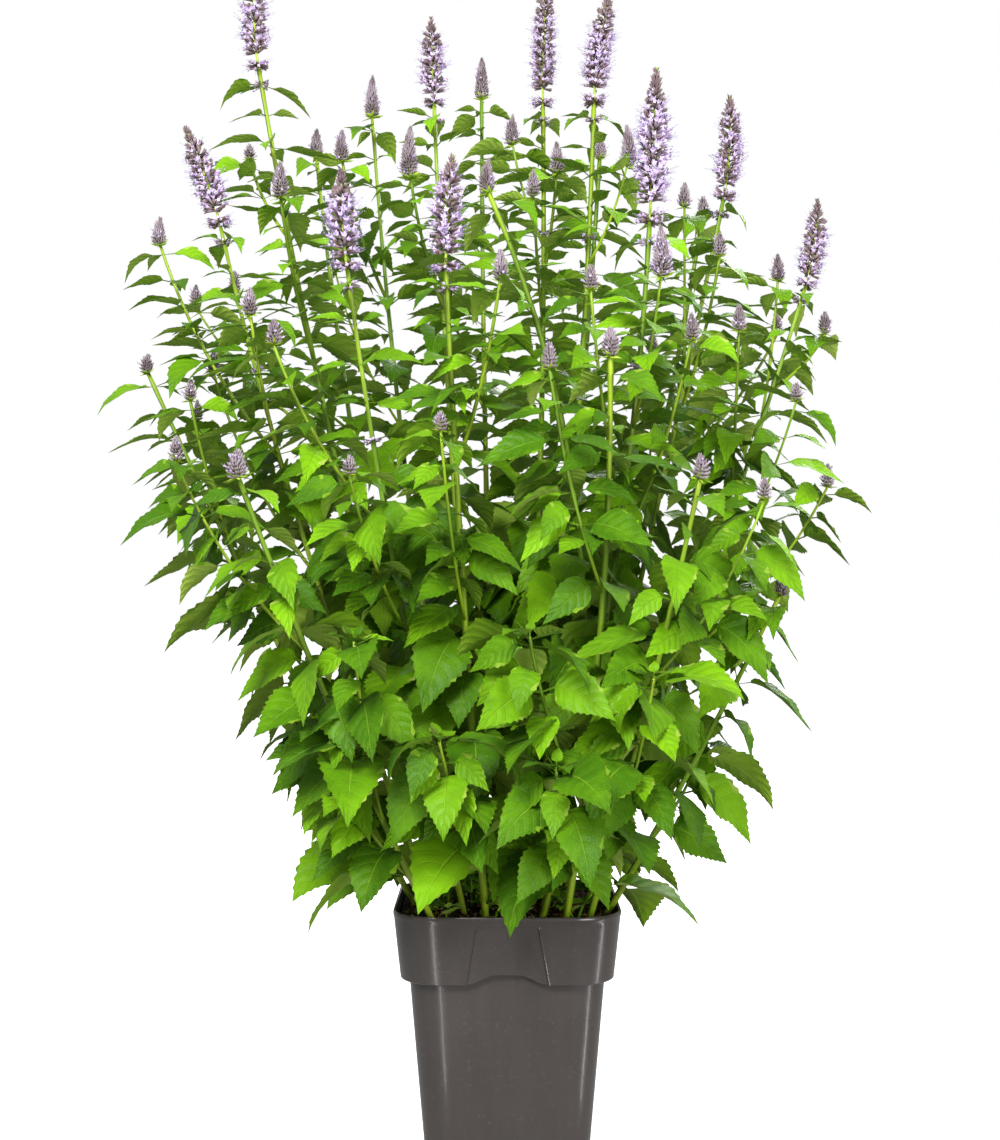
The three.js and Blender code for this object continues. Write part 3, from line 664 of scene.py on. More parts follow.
def add_stalk(bm, curve, size, phase, material, spacing=16, swell=()):
    """A square stalk with rounded ridges, a little thicker at its nodes."""
    layer = bm.verts.layers.float["tint"]
    rings = max(3, round(curve.chord() / spacing))
    loop = bmesh.ops.create_circle(bm, segments=8, radius=1, cap_ends=True)["verts"]
    faces = set(loop[0].link_faces)
    corners = list(loop)
    for ring in range(rings + 1):
        t = ring / rings
        if ring:
            edges = list({e for v in corners for e in v.link_edges if all(o in corners for o in e.verts)})
            made = bmesh.ops.extrude_edge_only(bm, edges=edges)["geom"]
            fresh = [g for g in made if isinstance(g, bmesh.types.BMVert)]
            faces.update(g for g in made if isinstance(g, bmesh.types.BMFace))
            follow = {next(e.other_vert(v) for e in v.link_edges if e.other_vert(v) in corners): v
                      for v in fresh}
            corners = [follow[v] for v in corners]
        side, front = curve.frame(t)
        swelling = sum(math.exp(-(((t - n) * curve.chord() / 7) ** 2)) for n in swell)
        reach = 0.9 * mix(*size, t) * (1 + 0.22 * swelling)
        for k, vert in enumerate(corners):
            angle = phase + math.pi * (k + 1) / 4
            ridge = reach if k % 2 == 0 else 0.62 * reach
            vert.co = curve.point(t) + (side * math.cos(angle) + front * math.sin(angle)) * ridge
            vert[layer] = t
    end = bmesh.ops.contextual_create(bm, geom=corners)["faces"]
    faces.update(end)
    for face in faces:
        face.material_index = material


def calyx_shape(bm):
    """A ribbed tube with short teeth round a hollow mouth."""
    made = bmesh.ops.create_cone(
        bm, segments=8, radius1=0.09, radius2=0.19, depth=1, cap_ends=True, calc_uvs=True)
    rim = [v for v in made["verts"] if v.co.z > 0]
    for k, vert in enumerate(rim):
        vert.co.z += 0.24 if k % 2 else 0
        vert.co.xy *= 1.15 if k % 2 else 0.85
    mouth = next(f for f in bm.faces if all(v in rim for v in f.verts))
    middle = bmesh.ops.poke(bm, faces=[mouth])["verts"][0]
    middle.co.z = 0.05
    bmesh.ops.translate(bm, verts=bm.verts, vec=(0, 0, 0.5))


def corolla_shape(bm):
    """A slender tube that flares into an upper and a lower lip of lobes round an open throat."""
    bmesh.ops.create_cone(bm, segments=8, radius1=0.07, radius2=0.12, depth=0.6, cap_ends=True)
    bmesh.ops.translate(bm, verts=bm.verts, vec=(0, 0, 0.3))
    mouth = max(bm.faces, key=lambda f: f.calc_center_median().z)
    lip = bmesh.ops.extrude_discrete_faces(bm, faces=[mouth])["faces"][0]
    for k, vert in enumerate(lip.verts):
        lobe = 2.1 if k % 2 else 1.3
        vert.co.x *= lobe
        vert.co.y *= lobe * (1.3 if vert.co.y < 0 else 0.9)
        vert.co.z += 0.3 if k % 2 else 0.14
    middle = bmesh.ops.poke(bm, faces=[lip])["verts"][0]
    middle.co = Vector((0, 0, 0.52))


def stamen_shape(bm):
    """A stamen as thin as a hair that swells into its anther."""
    made = bmesh.ops.create_cone(bm, segments=3, radius1=0.014, radius2=0.012, depth=1, cap_ends=True)
    end = max(bm.faces, key=lambda f: f.calc_center_median().z)
    for width, rise in ((4, 0.03), (0.7, 0.07)):
        end = bmesh.ops.extrude_discrete_faces(bm, faces=[end])["faces"][0]
        middle = end.calc_center_median()
        for vert in end.verts:
            vert.co = middle + (vert.co - middle) * width + Vector((0, 0, rise))
    bmesh.ops.translate(bm, verts=bm.verts, vec=(0, 0, 0.5))


def waisted_cone(bm, segments, foot, widen, drop):
    """A pointed cone whose middle ring is widened along X and Y and pulled down."""
    bmesh.ops.create_cone(
        bm, segments=segments, radius1=foot, radius2=0.012, depth=1, cap_ends=True, calc_uvs=True)
    sides = [e for e in bm.edges if abs(e.verts[0].co.z - e.verts[1].co.z) > 0.5]
    waist = bmesh.ops.subdivide_edges(bm, edges=sides, cuts=1)["geom_inner"]
    for vert in (g for g in waist if isinstance(g, bmesh.types.BMVert)):
        vert.co.x *= widen[0]
        vert.co.y *= widen[1]
        vert.co.z -= drop
    bmesh.ops.translate(bm, verts=bm.verts, vec=(0, 0, 0.5))


def bud_scale_shape(bm):
    """A closed calyx: a plump scale that ends in a sharp point."""
    waisted_cone(bm, 5, 0.1, (3.3, 3.3), 0.12)


def bract_shape(bm):
    """A small pointed leaflet, as in the ruff below a spike."""
    waisted_cone(bm, 6, 0.08, (5, 1), 0.15)


def add_sprouts(bm, blade, tooth, thickness):
    """Short young shoots that come up round the feet of the stems."""
    draw = random.Random(SEEDS["sprouts"]).uniform
    for index in range(30):
        foot = Vector((*STEMS[index % len(STEMS)][0], 0))
        turn, away = draw(0, 6.3), draw(9, 17)
        foot += Vector((away * math.cos(turn), away * math.sin(turn), 0))
        if max(abs(foot.x), abs(foot.y)) > 74:
            continue
        foot.z = soil_height(foot.x, foot.y) - 3
        tall = draw(8, 27)
        lean = draw(0.2, 0.8) * tall
        top = foot + Vector((lean * math.cos(turn), lean * math.sin(turn), tall))
        curve = Curve(foot, foot + UP * (0.5 * tall), top)
        add_stalk(bm, curve, (1.7, 1.1), turn, 4, spacing=8)
        for k in range(6):
            t, long = (0.55, draw(0.4, 0.6)) if k < 2 else (0.98, draw(0.5, 0.8))
            azimuth = turn + k * math.pi / 2 + (k > 3) * 0.8 + draw(-0.3, 0.3)
            leaf = leaf_shape(curve, t, azimuth, 7 + long * tall, 0.1,
                              draw(0.3, 1.1), draw(-0.3, 0.6), draw(-0.3, 0.3), draw(0.1, 0.4))
            leaf["petiole"] *= 0.5
            blade.add(bm, leaf, draw(0.0, 0.7), tooth, thickness)


class Florets:
    """The templates that every spike is set with, made once, each with its place in the list of materials."""

    def __init__(self):
        self.bract, self.calyx = template(bract_shape, 0), template(calyx_shape, 1)
        self.scale, self.corolla = template(bud_scale_shape, 1), template(corolla_shape, 2)
        self.stamen = template(stamen_shape, 3)

    def clear(self):
        for mesh in (self.bract, self.calyx, self.scale, self.corolla, self.stamen):
            bpy.data.meshes.remove(mesh)


def outward(curve, t, angle, lift):
    """A direction away from a curve, raised towards its tip."""
    side, front = curve.frame(t)
    out = side * math.cos(angle) + front * math.sin(angle)
    return out * math.cos(lift) + curve.tangent(t) * math.sin(lift)


def add_whorl(bm, florets, curve, t, reach, tip, patch, draw):
    """A whorl of calyces round a stalk.

    Where a patch of noise is given, the florets are open in loose patches, else nearly all of them are.
    """
    chord, length = curve.chord(), sizes().floret * 1000
    count, start = round(mix(16, 9, tip)), draw(0, math.pi)
    for k in range(count):
        angle = start + 2 * math.pi * k / count + draw(-0.3, 0.3)
        lift = mix(draw(-0.15, 0.85), draw(0.8, 1.2), tip) if patch else draw(-0.4, 0.5)
        way = outward(curve, t, angle, lift)
        level = min(max(t + draw(-2.2, 2.2) / chord, 0), 1)
        base = curve.point(level) + outward(curve, t, angle, 0) * (0.17 * reach)
        share = 0.72 if patch else 0.56
        tube = min(0.62 * length, share * reach / math.cos(lift) ** 0.5) * draw(0.85, 1.15)
        stamp(bm, florets.calyx if tip < 0.3 else florets.scale, base, way, tube, draw(0, 3))
        spot = Vector((math.cos(angle), math.sin(angle), t * chord / 9)) * 1.3
        if tip > 0.3 or (noise.noise(patch + spot) < draw(-0.45, 0.12) if patch else draw(0, 1) < 0.15):
            continue
        bloom = max(0.88 * reach / math.cos(lift) ** 0.6, 5.5) * draw(0.8, 1.1)
        stamp(bm, florets.corolla, base + way * (0.4 * tube), way, bloom - 0.4 * tube, draw(0, 6))
        for _ in range(2):
            lean = (way + outward(curve, t, angle + draw(-1, 1), draw(-0.8, 0.8)) * 0.25).normalized()
            stamp(bm, florets.stamen, base + way * (0.62 * bloom), lean, draw(0.5, 0.72) * bloom)


def add_flower_spike(bm, florets, spike, draw):
    """Whorl on whorl up to a closed tip, above two lower whorls set apart."""
    curve, height, radius = spike["curve"], spike["height"], spike["radius"]
    add_stalk(bm, curve, (1.8, 0.8), 0, 0, spacing=9)
    for t in (0.025, 0.055):
        add_whorl(bm, florets, curve, t, profile(FLOWER_REACH, t) * radius, 0, None, draw)
    patch = Vector((draw(0, 90), draw(0, 90), 1))
    along = 0.19 * height
    while along < 0.985 * height:
        t = along / height
        closed = smooth(0.76, 0.95, t)
        add_whorl(bm, florets, curve, t, profile(FLOWER_REACH, t) * radius, closed, patch, draw)
        along += sizes().whorl_spacing * 1000 * mix(1, 0.42, smooth(0.66, 0.92, t))


def add_bud_spike(bm, florets, curve, height, radius, draw, opened=0.06):
    """Closed calyces packed like the scales of a cone over a ruff of green bracts, a few of them open."""
    add_stalk(bm, curve, (1.3, 0.7), 0, 0, spacing=8)
    for k in range(9):
        way = outward(curve, 0, 0.7 * k, draw(-0.25, 0.7))
        size = draw(0.75, 1.2) * radius + 1.5
        stamp(bm, florets.bract, curve.point(0) + way * 0.7, way, size, draw(-0.6, 0.6))
    along = 0.05 * height
    while along < 0.985 * height:
        t = along / height
        reach = profile(BUD_REACH, t) * radius
        count = max(5, round(1.9 * reach + 3))
        start = draw(0, math.pi)
        lift = mix(0.55, 1.3, smooth(0, 0.95, t))
        for k in range(count):
            angle = start + 2 * math.pi * k / count + draw(-0.14, 0.14)
            way = outward(curve, t, angle, lift + draw(-0.14, 0.14))
            base = curve.point(t) + outward(curve, t, angle, 0) * 0.4 * reach
            long = min(5.2, 2.2 + 0.66 * reach) * draw(0.85, 1.15)
            stamp(bm, florets.scale, base, way, long, draw(0, 3))
            if t < 0.7 and draw(0, 1) < opened:
                stamp(bm, florets.corolla, base + way * (0.5 * long), way, 0.9 * long)
                stamp(bm, florets.stamen, base + way * (0.6 * long), way, 0.9 * long)
        along += mix(2.8, 1.9, t)


def square_ring(half, corner, z, across=(), inset=None, rise=None, steps=10):
    """The points of a rounded square: on each side a corner's arc, then points across the flat."""
    side = []
    for k in range(steps + 1):
        angle = math.radians(90 * k / steps - 90)
        x, y = half - corner + corner * math.cos(angle), corner - half + corner * math.sin(angle)
        side.append(Vector((x, y, z)))
    for y in across:
        side.append(Vector((half - (inset(y) if inset else 0), y, z + (rise(y) if rise else 0))))
    return [Matrix.Rotation(turn * math.pi / 2, 3, "Z") @ p for turn in range(4) for p in side]


def loft(bm, rings):
    """Extrudes the first ring's loop of edges from ring to ring, and closes both ends."""
    loop = bmesh.ops.create_circle(bm, segments=len(rings[0]), radius=1, cap_ends=True)["verts"]
    edges = [e for e in bm.edges if all(v in set(loop) for v in e.verts)]
    order = {v: k for k, v in enumerate(loop)}
    for vert, place in zip(loop, rings[0]):
        vert.co = place
    for ring in rings[1:]:
        made = bmesh.ops.extrude_edge_only(bm, edges=edges)["geom"]
        fresh = [g for g in made if isinstance(g, bmesh.types.BMVert)]
        inside = set(fresh)
        edges = [g for g in made if isinstance(g, bmesh.types.BMEdge) and all(v in inside for v in g.verts)]
        order = {vert: next(order[e.other_vert(vert)] for e in vert.link_edges if e.other_vert(vert) in order)
                 for vert in fresh}
        for vert, k in order.items():
            vert.co = ring[k]
    bmesh.ops.contextual_create(bm, geom=list(order))
    bmesh.ops.recalc_face_normals(bm, faces=bm.faces)


def collar_half(z):
    return mix(POT["collar"], POT["rim"], (z - POT["neck_z"]) / (POT["height"] - POT["neck_z"]))


def soil_height(x, y):
    crown = 5 * math.exp(-(x * x + y * y) / 3600)
    return SOIL_TOP + crown + 1.8 * math.sin(0.19 * x + 0.6) * math.cos(0.23 * y - 0.4)


def add_node(tree, kind, inputs=None, out=0, **settings):
    """Adds a shader node with its settings, its inputs as values or links, and gives one of its outputs."""
    made = tree.nodes.new("ShaderNode" + kind)
    for key, value in settings.items():
        setattr(made, key, value)
    for socket, value in (inputs or {}).items():
        if isinstance(value, bpy.types.NodeSocket):
            tree.links.new(value, made.inputs[socket])
        else:
            made.inputs[socket].default_value = value
    return made.outputs[out]


def rgba(colour, gain=1.0):
    """A colour for a socket, from a hex value or linear parts."""
    parts = linear(colour) if isinstance(colour, str) else colour
    return (*(min(c * gain, 1) for c in parts), 1)


def new_material(name, **sockets):
    """A material, its node tree and its Principled shader, whose sockets are set by name."""
    material = bpy.data.materials.new(name)
    material.use_nodes = True
    shader = material.node_tree.nodes["Principled BSDF"]
    for socket, value in sockets.items():
        shader.inputs[socket.replace("_", " ")].default_value = value
    return material, material.node_tree, shader.inputs


def leaf_material(name, light, deep, vein, relief, roughness):
    """A thin soft leaf, veined and quilted as it grew, with a down of fine hairs.

    The eye gets a satin green without hard glints, and paler veins sunk into it. They are 0.3 to 0.5 mm wide
    and run out in pairs from the midrib to the tip, drawn about twice as wide so that they show. The hairs,
    0.05 mm thick, are too fine to show but as a faint sheen.
    """
    material, tree, shader = new_material(
        name, Roughness=roughness, IOR=1.4, Specular_IOR_Level=0.2, Sheen_Weight=0.02, Sheen_Roughness=0.5)
    spot = add_node(tree, "TexCoord", out="Object")
    place = add_node(tree, "SeparateXYZ", {0: add_node(tree, "UVMap")}).node
    out = add_node(tree, "Math", {0: place.outputs[1], 1: 0.5}, operation="SUBTRACT")
    out = add_node(tree, "Math", {0: out}, operation="ABSOLUTE")
    bow = add_node(tree, "Math", {0: out, 1: -2.6, 2: -1.6}, operation="MULTIPLY_ADD")
    bow = add_node(tree, "Math", {0: out, 1: bow}, operation="MULTIPLY")
    wobble = add_node(tree, "TexNoise", {"Vector": spot, "Scale": 60, "Detail": 1})
    run = add_node(tree, "Math", {0: place.outputs[0], 1: 6.4, 2: bow}, operation="MULTIPLY_ADD")
    run = add_node(tree, "Math", {0: wobble, 1: 0.35, 2: run}, operation="MULTIPLY_ADD")
    saw = add_node(tree, "Math", {0: run, 1: 0.5}, operation="PINGPONG")
    side = add_node(tree, "MapRange", {0: saw, 1: 0.0, 2: 0.06, 3: 0.4, 4: 0.0})
    rib = add_node(tree, "MapRange", {0: out, 1: 0.006, 2: 0.022, 3: 1.0, 4: 0.0})
    veins = add_node(tree, "Math", {0: side, 1: rib}, operation="MAXIMUM")
    cells = add_node(tree, "TexVoronoi", {"Vector": spot, "Scale": 620}, feature="DISTANCE_TO_EDGE")
    net = add_node(tree, "MapRange", {0: cells, 1: 0.0, 2: 0.14, 3: 0.14, 4: 0.0})
    shown = add_node(tree, "Math", {0: veins, 1: 0.38}, operation="MULTIPLY")
    shown = add_node(tree, "Math", {0: shown, 1: net}, operation="MAXIMUM")
    mottle = add_node(tree, "TexNoise", {"Vector": spot, "Scale": 30, "Detail": 4})
    mottle = add_node(tree, "MapRange", {0: mottle, 1: 0.3, 2: 0.7, 3: -0.2, 4: 0.2})
    tint = add_node(tree, "Attribute", attribute_name="tint", out="Fac")
    share = add_node(tree, "Math", {0: tint, 1: mottle}, operation="ADD", use_clamp=True)
    body = add_node(tree, "Mix", {0: share, 6: rgba(deep), 7: rgba(light)}, out=2, data_type="RGBA")
    body = add_node(tree, "Mix", {0: shown, 6: body, 7: rgba(vein)}, out=2, data_type="RGBA")
    tree.links.new(body, shader["Base Color"])
    crimp = add_node(tree, "TexNoise", {"Vector": spot, "Scale": 420, "Detail": 2})
    quilt = add_node(tree, "Math", {0: veins, 1: relief, 2: saw}, operation="MULTIPLY_ADD")
    quilt = add_node(tree, "Math", {0: crimp, 1: 0.35, 2: quilt}, operation="MULTIPLY_ADD")
    bump = add_node(tree, "Bump", {"Height": quilt, "Strength": 0.9, "Distance": 0.001})
    tree.links.new(bump, shader["Normal"])
    return material


def stem_material():
    """A living square stem, smooth and a little waxy: bright yellow-green with a soft gloss, some stems
    painted a darker green as painted shade, and flushed here and there with the red-brown that sun gives it."""
    material, tree, shader = new_material("stem_waxy_green", Roughness=0.42, IOR=1.42, Specular_IOR_Level=0.4)
    spot = add_node(tree, "TexCoord", out="Object")
    tint = add_node(tree, "Attribute", attribute_name="tint", out="Fac")
    low = add_node(tree, "MapRange", {0: tint, 1: 0.0, 2: 0.3, 3: 1.0, 4: 0.0})
    # Painted light and shade: a noise that is long up and down makes some stems a darker green, as if they
    # stood in shade, and leaves others the bright green of sunlit ones
    apart = add_node(tree, "Mapping", {"Vector": spot, "Scale": (1, 1, 0.08)})
    apart = add_node(tree, "TexNoise", {"Vector": apart, "Scale": 16, "Detail": 1})
    apart = add_node(tree, "MapRange", {0: apart, 1: 0.4, 2: 0.6, 3: 0.0, 4: 1.0})
    body = add_node(tree, "Mix", {0: apart, 6: rgba(colours().stem), 7: rgba("#6f9424")}, out=2,
                    data_type="RGBA")
    body = add_node(tree, "Mix", {0: low, 6: body, 7: rgba("#93ad24")}, out=2, data_type="RGBA")
    flush = add_node(tree, "TexNoise", {"Vector": spot, "Scale": 9, "Detail": 2})
    flush = add_node(tree, "MapRange", {0: flush, 1: 0.52, 2: 0.74, 3: 0.0, 4: 0.5})
    body = add_node(tree, "Mix", {0: flush, 6: body, 7: rgba("#66661c")}, out=2, data_type="RGBA")
    tree.links.new(body, shader["Base Color"])
    streaks = add_node(tree, "Mapping", {"Vector": spot, "Scale": (1, 1, 0.12)})
    streaks = add_node(tree, "TexNoise", {"Vector": streaks, "Scale": 900, "Detail": 2})
    bump = add_node(tree, "Bump", {"Height": streaks, "Strength": 0.3, "Distance": 0.0005})
    tree.links.new(bump, shader["Normal"])
    return material


def speckled(name, low, high, scale, **sockets):
    """A thin plant skin of two close tones, in specks of the size that its pattern scale gives."""
    if name in bpy.data.materials:
        return bpy.data.materials[name]
    material, tree, shader = new_material(name, **sockets)
    spot = add_node(tree, "TexCoord", out="Object")
    specks = add_node(tree, "TexNoise", {"Vector": spot, "Scale": scale, "Detail": 2})
    share = add_node(tree, "MapRange", {0: specks, 1: 0.36, 2: 0.64, 3: 0.0, 4: 1.0})
    body = add_node(tree, "Mix", {0: share, 6: rgba(low), 7: rgba(high)}, out=2, data_type="RGBA")
    tree.links.new(body, shader["Base Color"])
    bump = add_node(tree, "Bump", {"Height": specks, "Strength": 0.2, "Distance": 0.0003})
    tree.links.new(bump, shader["Normal"])
    return material


def calyx_material(name, foot, side, tip):
    """A papery calyx with a fine down: matt, green at its foot and dusky violet to its teeth."""
    if name in bpy.data.materials:
        return bpy.data.materials[name]
    material, tree, shader = new_material(name, Roughness=0.75, Specular_IOR_Level=0.3, Sheen_Weight=0.1)
    spot = add_node(tree, "TexCoord", out="Object")
    up = add_node(tree, "SeparateXYZ", {0: add_node(tree, "UVMap")}, out=1)
    patch = add_node(tree, "TexNoise", {"Vector": spot, "Scale": 95, "Detail": 3})
    patch = add_node(tree, "MapRange", {0: patch, 1: 0.3, 2: 0.7, 3: -0.3, 4: 0.3})
    share = add_node(tree, "Math", {0: up, 1: patch}, operation="ADD")
    first = add_node(tree, "MapRange", {0: share, 1: 0.1, 2: 0.5, 3: 0.0, 4: 1.0})
    last = add_node(tree, "MapRange", {0: share, 1: 0.6, 2: 1.1, 3: 0.0, 4: 1.0})
    body = add_node(tree, "Mix", {0: first, 6: rgba(foot), 7: rgba(side)}, out=2, data_type="RGBA")
    body = add_node(tree, "Mix", {0: last, 6: body, 7: rgba(tip)}, out=2, data_type="RGBA")
    tree.links.new(body, shader["Base Color"])
    return material


def floret_materials(bud):
    """The skins of a spike: its stalk and bracts, its calyces, its thin petals and its stamens."""
    axis = speckled(
        "spike_axis_fresh_green", "#86a526", "#b2cc45", 150, Roughness=0.5, Specular_IOR_Level=0.35)
    if bud:
        calyx = calyx_material("bud_calyx_downy_grey_violet", "#5f6130", "#6f6064", "#a597a0")
    else:
        calyx = calyx_material("calyx_papery_dusky_violet", "#777a35", colours().calyx, "#8b7678")
    # Petals 0.2 mm thin with 1 to 2 mm flecks: soft and pale, without gloss
    petal = speckled(
        "corolla_thin_lilac_petal", "#b89dd0", colours().corolla, 400, Roughness=0.6, Specular_IOR_Level=0.3)
    stamen = speckled("stamen_pale_violet", "#b49cda", "#e0d2f2", 500, Roughness=0.6, Specular_IOR_Level=0.3)
    return [axis, calyx, petal, stamen]


def pot_material():
    """Moulded polypropylene, dark grey: half glossy, so that lamps show on it as soft upright streaks, with
    faint flow lines from the mould 6 to 8 mm apart, a little potting dust and dull scuffs."""
    material, tree, shader = new_material(
        "pot_moulded_polypropylene", IOR=1.49, Coat_Weight=0.3, Coat_Roughness=0.14)
    spot = add_node(tree, "TexCoord", out="Object")
    upright = add_node(tree, "Mapping", {"Vector": spot, "Scale": (1, 1, 0.05)})
    flow = add_node(tree, "TexNoise", {"Vector": upright, "Scale": 130, "Detail": 3})
    cloud = add_node(tree, "TexNoise", {"Vector": spot, "Scale": 14, "Detail": 4})
    tone = add_node(tree, "Math", {0: flow, 1: cloud}, operation="ADD")
    tone = add_node(tree, "MapRange", {0: tone, 1: 0.7, 2: 1.3, 3: 0.0, 4: 1.0})
    body = add_node(tree, "Mix", {0: tone, 6: rgba(colours().pot, 0.92), 7: rgba(colours().pot, 1.08)},
                    out=2, data_type="RGBA")
    dust = add_node(tree, "TexNoise", {"Vector": spot, "Scale": 300, "Detail": 3})
    dust = add_node(tree, "MapRange", {0: dust, 1: 0.6, 2: 0.85, 3: 0.0, 4: 0.14})
    body = add_node(tree, "Mix", {0: dust, 6: body, 7: rgba("#8a7f74")}, out=2, data_type="RGBA")
    tree.links.new(body, shader["Base Color"])
    rough = add_node(tree, "MapRange", {0: cloud, 1: 0.3, 2: 0.7, 3: 0.24, 4: 0.33})
    tree.links.new(rough, shader["Roughness"])
    bump = add_node(tree, "Bump", {"Height": flow, "Strength": 0.1, "Distance": 0.0004})
    tree.links.new(bump, shader["Normal"])
    return material


def soil_materials():
    """Damp peat in crumbs of 2 to 4 mm, matt, with painted shade that makes it nearly black in its hollows,
    and
    the bits in it: bark, fibre and pale grit."""
    peat, tree, shader = new_material("potting_mix_damp_peat", Roughness=0.95, Specular_IOR_Level=0.3)
    spot = add_node(tree, "TexCoord", out="Object")
    crumbs = add_node(tree, "TexVoronoi", {"Vector": spot, "Scale": 320})
    clods = add_node(tree, "TexNoise", {"Vector": spot, "Scale": 90, "Detail": 5})
    # Painted shade: the peat goes from a paler brown to nearly black the deeper a spot lies between the
    # crumbs, with a noise of clods mixed in
    depth = add_node(tree, "Math", {0: crumbs, 1: clods}, operation="ADD")
    first = add_node(tree, "MapRange", {0: depth, 1: 0.35, 2: 0.75, 3: 0.0, 4: 1.0})
    last = add_node(tree, "MapRange", {0: depth, 1: 0.75, 2: 1.1, 3: 0.0, 4: 1.0})
    body = add_node(tree, "Mix", {0: first, 6: rgba("#6b4630"), 7: rgba(colours().soil)}, out=2,
                    data_type="RGBA")
    body = add_node(tree, "Mix", {0: last, 6: body, 7: rgba(colours().soil, 0.35)}, out=2,
                    data_type="RGBA")
    tree.links.new(body, shader["Base Color"])
    bump = add_node(tree, "Bump", {"Height": crumbs, "Strength": 1.0, "Distance": 0.002}, invert=True)
    tree.links.new(bump, shader["Normal"])
    return [peat, speckled("bark_chip_red_brown", "#4a2a18", "#8a5230", 500, Roughness=0.85),
            speckled("wood_fibre_tan", "#8a6a44", "#b79666", 500, Roughness=0.85),
            speckled("pale_grit", "#b9ac98", "#ddd4c4", 500, Roughness=0.8)]


def pot_ring(half, corner, z, panel, depth, lift):
    """A ring of the pot with a panel on each side, of a half width and depth, and a low bead beside it."""
    bead = (1.02, 1.04, 1.06, 1.11)
    shares = (*(-share for share in reversed(bead)), *(k / 5 for k in range(-5, 6)), *bead)

    def inset(y):
        return depth if abs(y) < 1.01 * panel else -0.5 * depth * (abs(y) < 1.05 * panel)

    return square_ring(half, corner, z, [share * panel for share in shares], inset,
                       lambda y: lift * smooth(1, 0.3, abs(y) / panel))


def pot_rings():
    """The pot's rings from its foot up the outside, over the rim and down the inside to its floor."""
    wall, neck_z, height, arch = POT["wall"], POT["neck_z"], POT["height"], POT["arch"]
    panel_top = neck_z + POT["panel_height"]
    foot, top = POT["panel_foot"], POT["panel_top"]
    rings = []
    for angle in (0, 0.4, 0.8, 1.2, math.pi / 2):
        back = FOOT_BEVEL * (1 - math.sin(angle))
        z = FOOT_BEVEL * (1 - math.cos(angle))
        rings.append(pot_ring(POT["foot"] - back, POT["foot_corner"] - back, z, foot, 0, 0))
    for share in (0.25, 0.5, 0.75):
        half = mix(POT["foot"], POT["neck"], share)
        corner = mix(POT["foot_corner"], POT["neck_corner"], share)
        rings.append(pot_ring(half, corner, mix(FOOT_BEVEL, neck_z, share), foot, 0, share * arch))
    rings += [
        pot_ring(POT["neck"], POT["neck_corner"], neck_z + 0.5, foot, 0, arch),
        pot_ring(POT["collar"] - 0.8, POT["neck_corner"] + 5.6, neck_z, foot, POT["panel_depth"], arch),
        pot_ring(POT["collar"], POT["neck_corner"] + 6, neck_z + 0.8, foot, POT["panel_depth"], arch),
    ]
    for share in (0.33, 0.66, 0.985, 1):
        z = mix(neck_z + 0.8, panel_top, share)
        corner = mix(POT["neck_corner"] + 6, POT["rim_corner"], share)
        panel = mix(foot, top, share)
        rings.append(pot_ring(collar_half(z), corner, z, panel, POT["panel_depth"], arch * (1 - share)))
    rim, corner = POT["rim"], POT["rim_corner"]
    for z in (panel_top + 1.5, panel_top + 1.9, height - 4.6):
        rings.append(pot_ring(collar_half(z), corner, z, top, 0, 0))
    # The turned rim: how far in from its edge, how much tighter its corners, and how far down from its top
    for inwards, tighter, down in (
            (0.1, 0, 3.8), (0, 0, 2.4), (0.15, 0, 0.9), (0.6, 0, 0.1), (1.2, 1, 0), (wall - 0.2, 2, 0.3),
            (wall, wall, 1.4)):
        rings.append(pot_ring(rim - inwards, corner - tighter, height - down, top, 0, 0))
    return rings + [
        pot_ring(POT["collar"] - wall, POT["neck_corner"] + 4, neck_z + wall, foot, 0, arch),
        pot_ring(POT["neck"] - wall, POT["neck_corner"] - wall, neck_z + wall - 0.3, foot, 0, arch),
        pot_ring(POT["foot"] + 0.2 - wall, POT["foot_corner"] - wall, POT["floor"], foot, 0, 0),
    ]


def drill_holes(pot):
    """Cuts the drainage holes out of the pot's floor."""
    drill = bmesh.new()
    ring, radius = 0.001 * POT["hole_ring"], 0.001 * POT["hole"]
    for k in range(POT["holes"]):
        angle = 2 * math.pi * k / POT["holes"]
        place = Matrix.Translation((ring * math.cos(angle), ring * math.sin(angle), 0))
        bmesh.ops.create_cone(drill, segments=28, radius1=radius, radius2=radius, depth=0.012,
                              cap_ends=True, matrix=place)
    cutter = linked("drain_holes", mesh_of(drill, "drain_holes"))
    cut = pot.modifiers.new("drain_holes", "BOOLEAN")
    cut.operation, cut.object, cut.solver = "DIFFERENCE", cutter, "EXACT"
    drilled = pot.evaluated_get(bpy.context.evaluated_depsgraph_get())
    whole = bpy.data.meshes.new_from_object(drilled)
    pot.modifiers.remove(cut)
    pot.data = whole
    bpy.data.objects.remove(cutter)
    if len(whole.polygons) < 1000:
        raise RuntimeError("the drain holes could not be cut")
    whole.set_sharp_from_angle(angle=math.radians(32))


class AGASTACHE_OT_pot(bpy.types.Operator):
    """Makes the square nursery pot with its flared collar"""

    bl_idname = "agastache.pot"
    bl_label = "Pot"

    def execute(self, context):
        bm = bmesh.new()
        loft(bm, pot_rings())
        drill_holes(finished(bm, "nursery_pot", ["pot"], [pot_material()]))
        return {"FINISHED"}


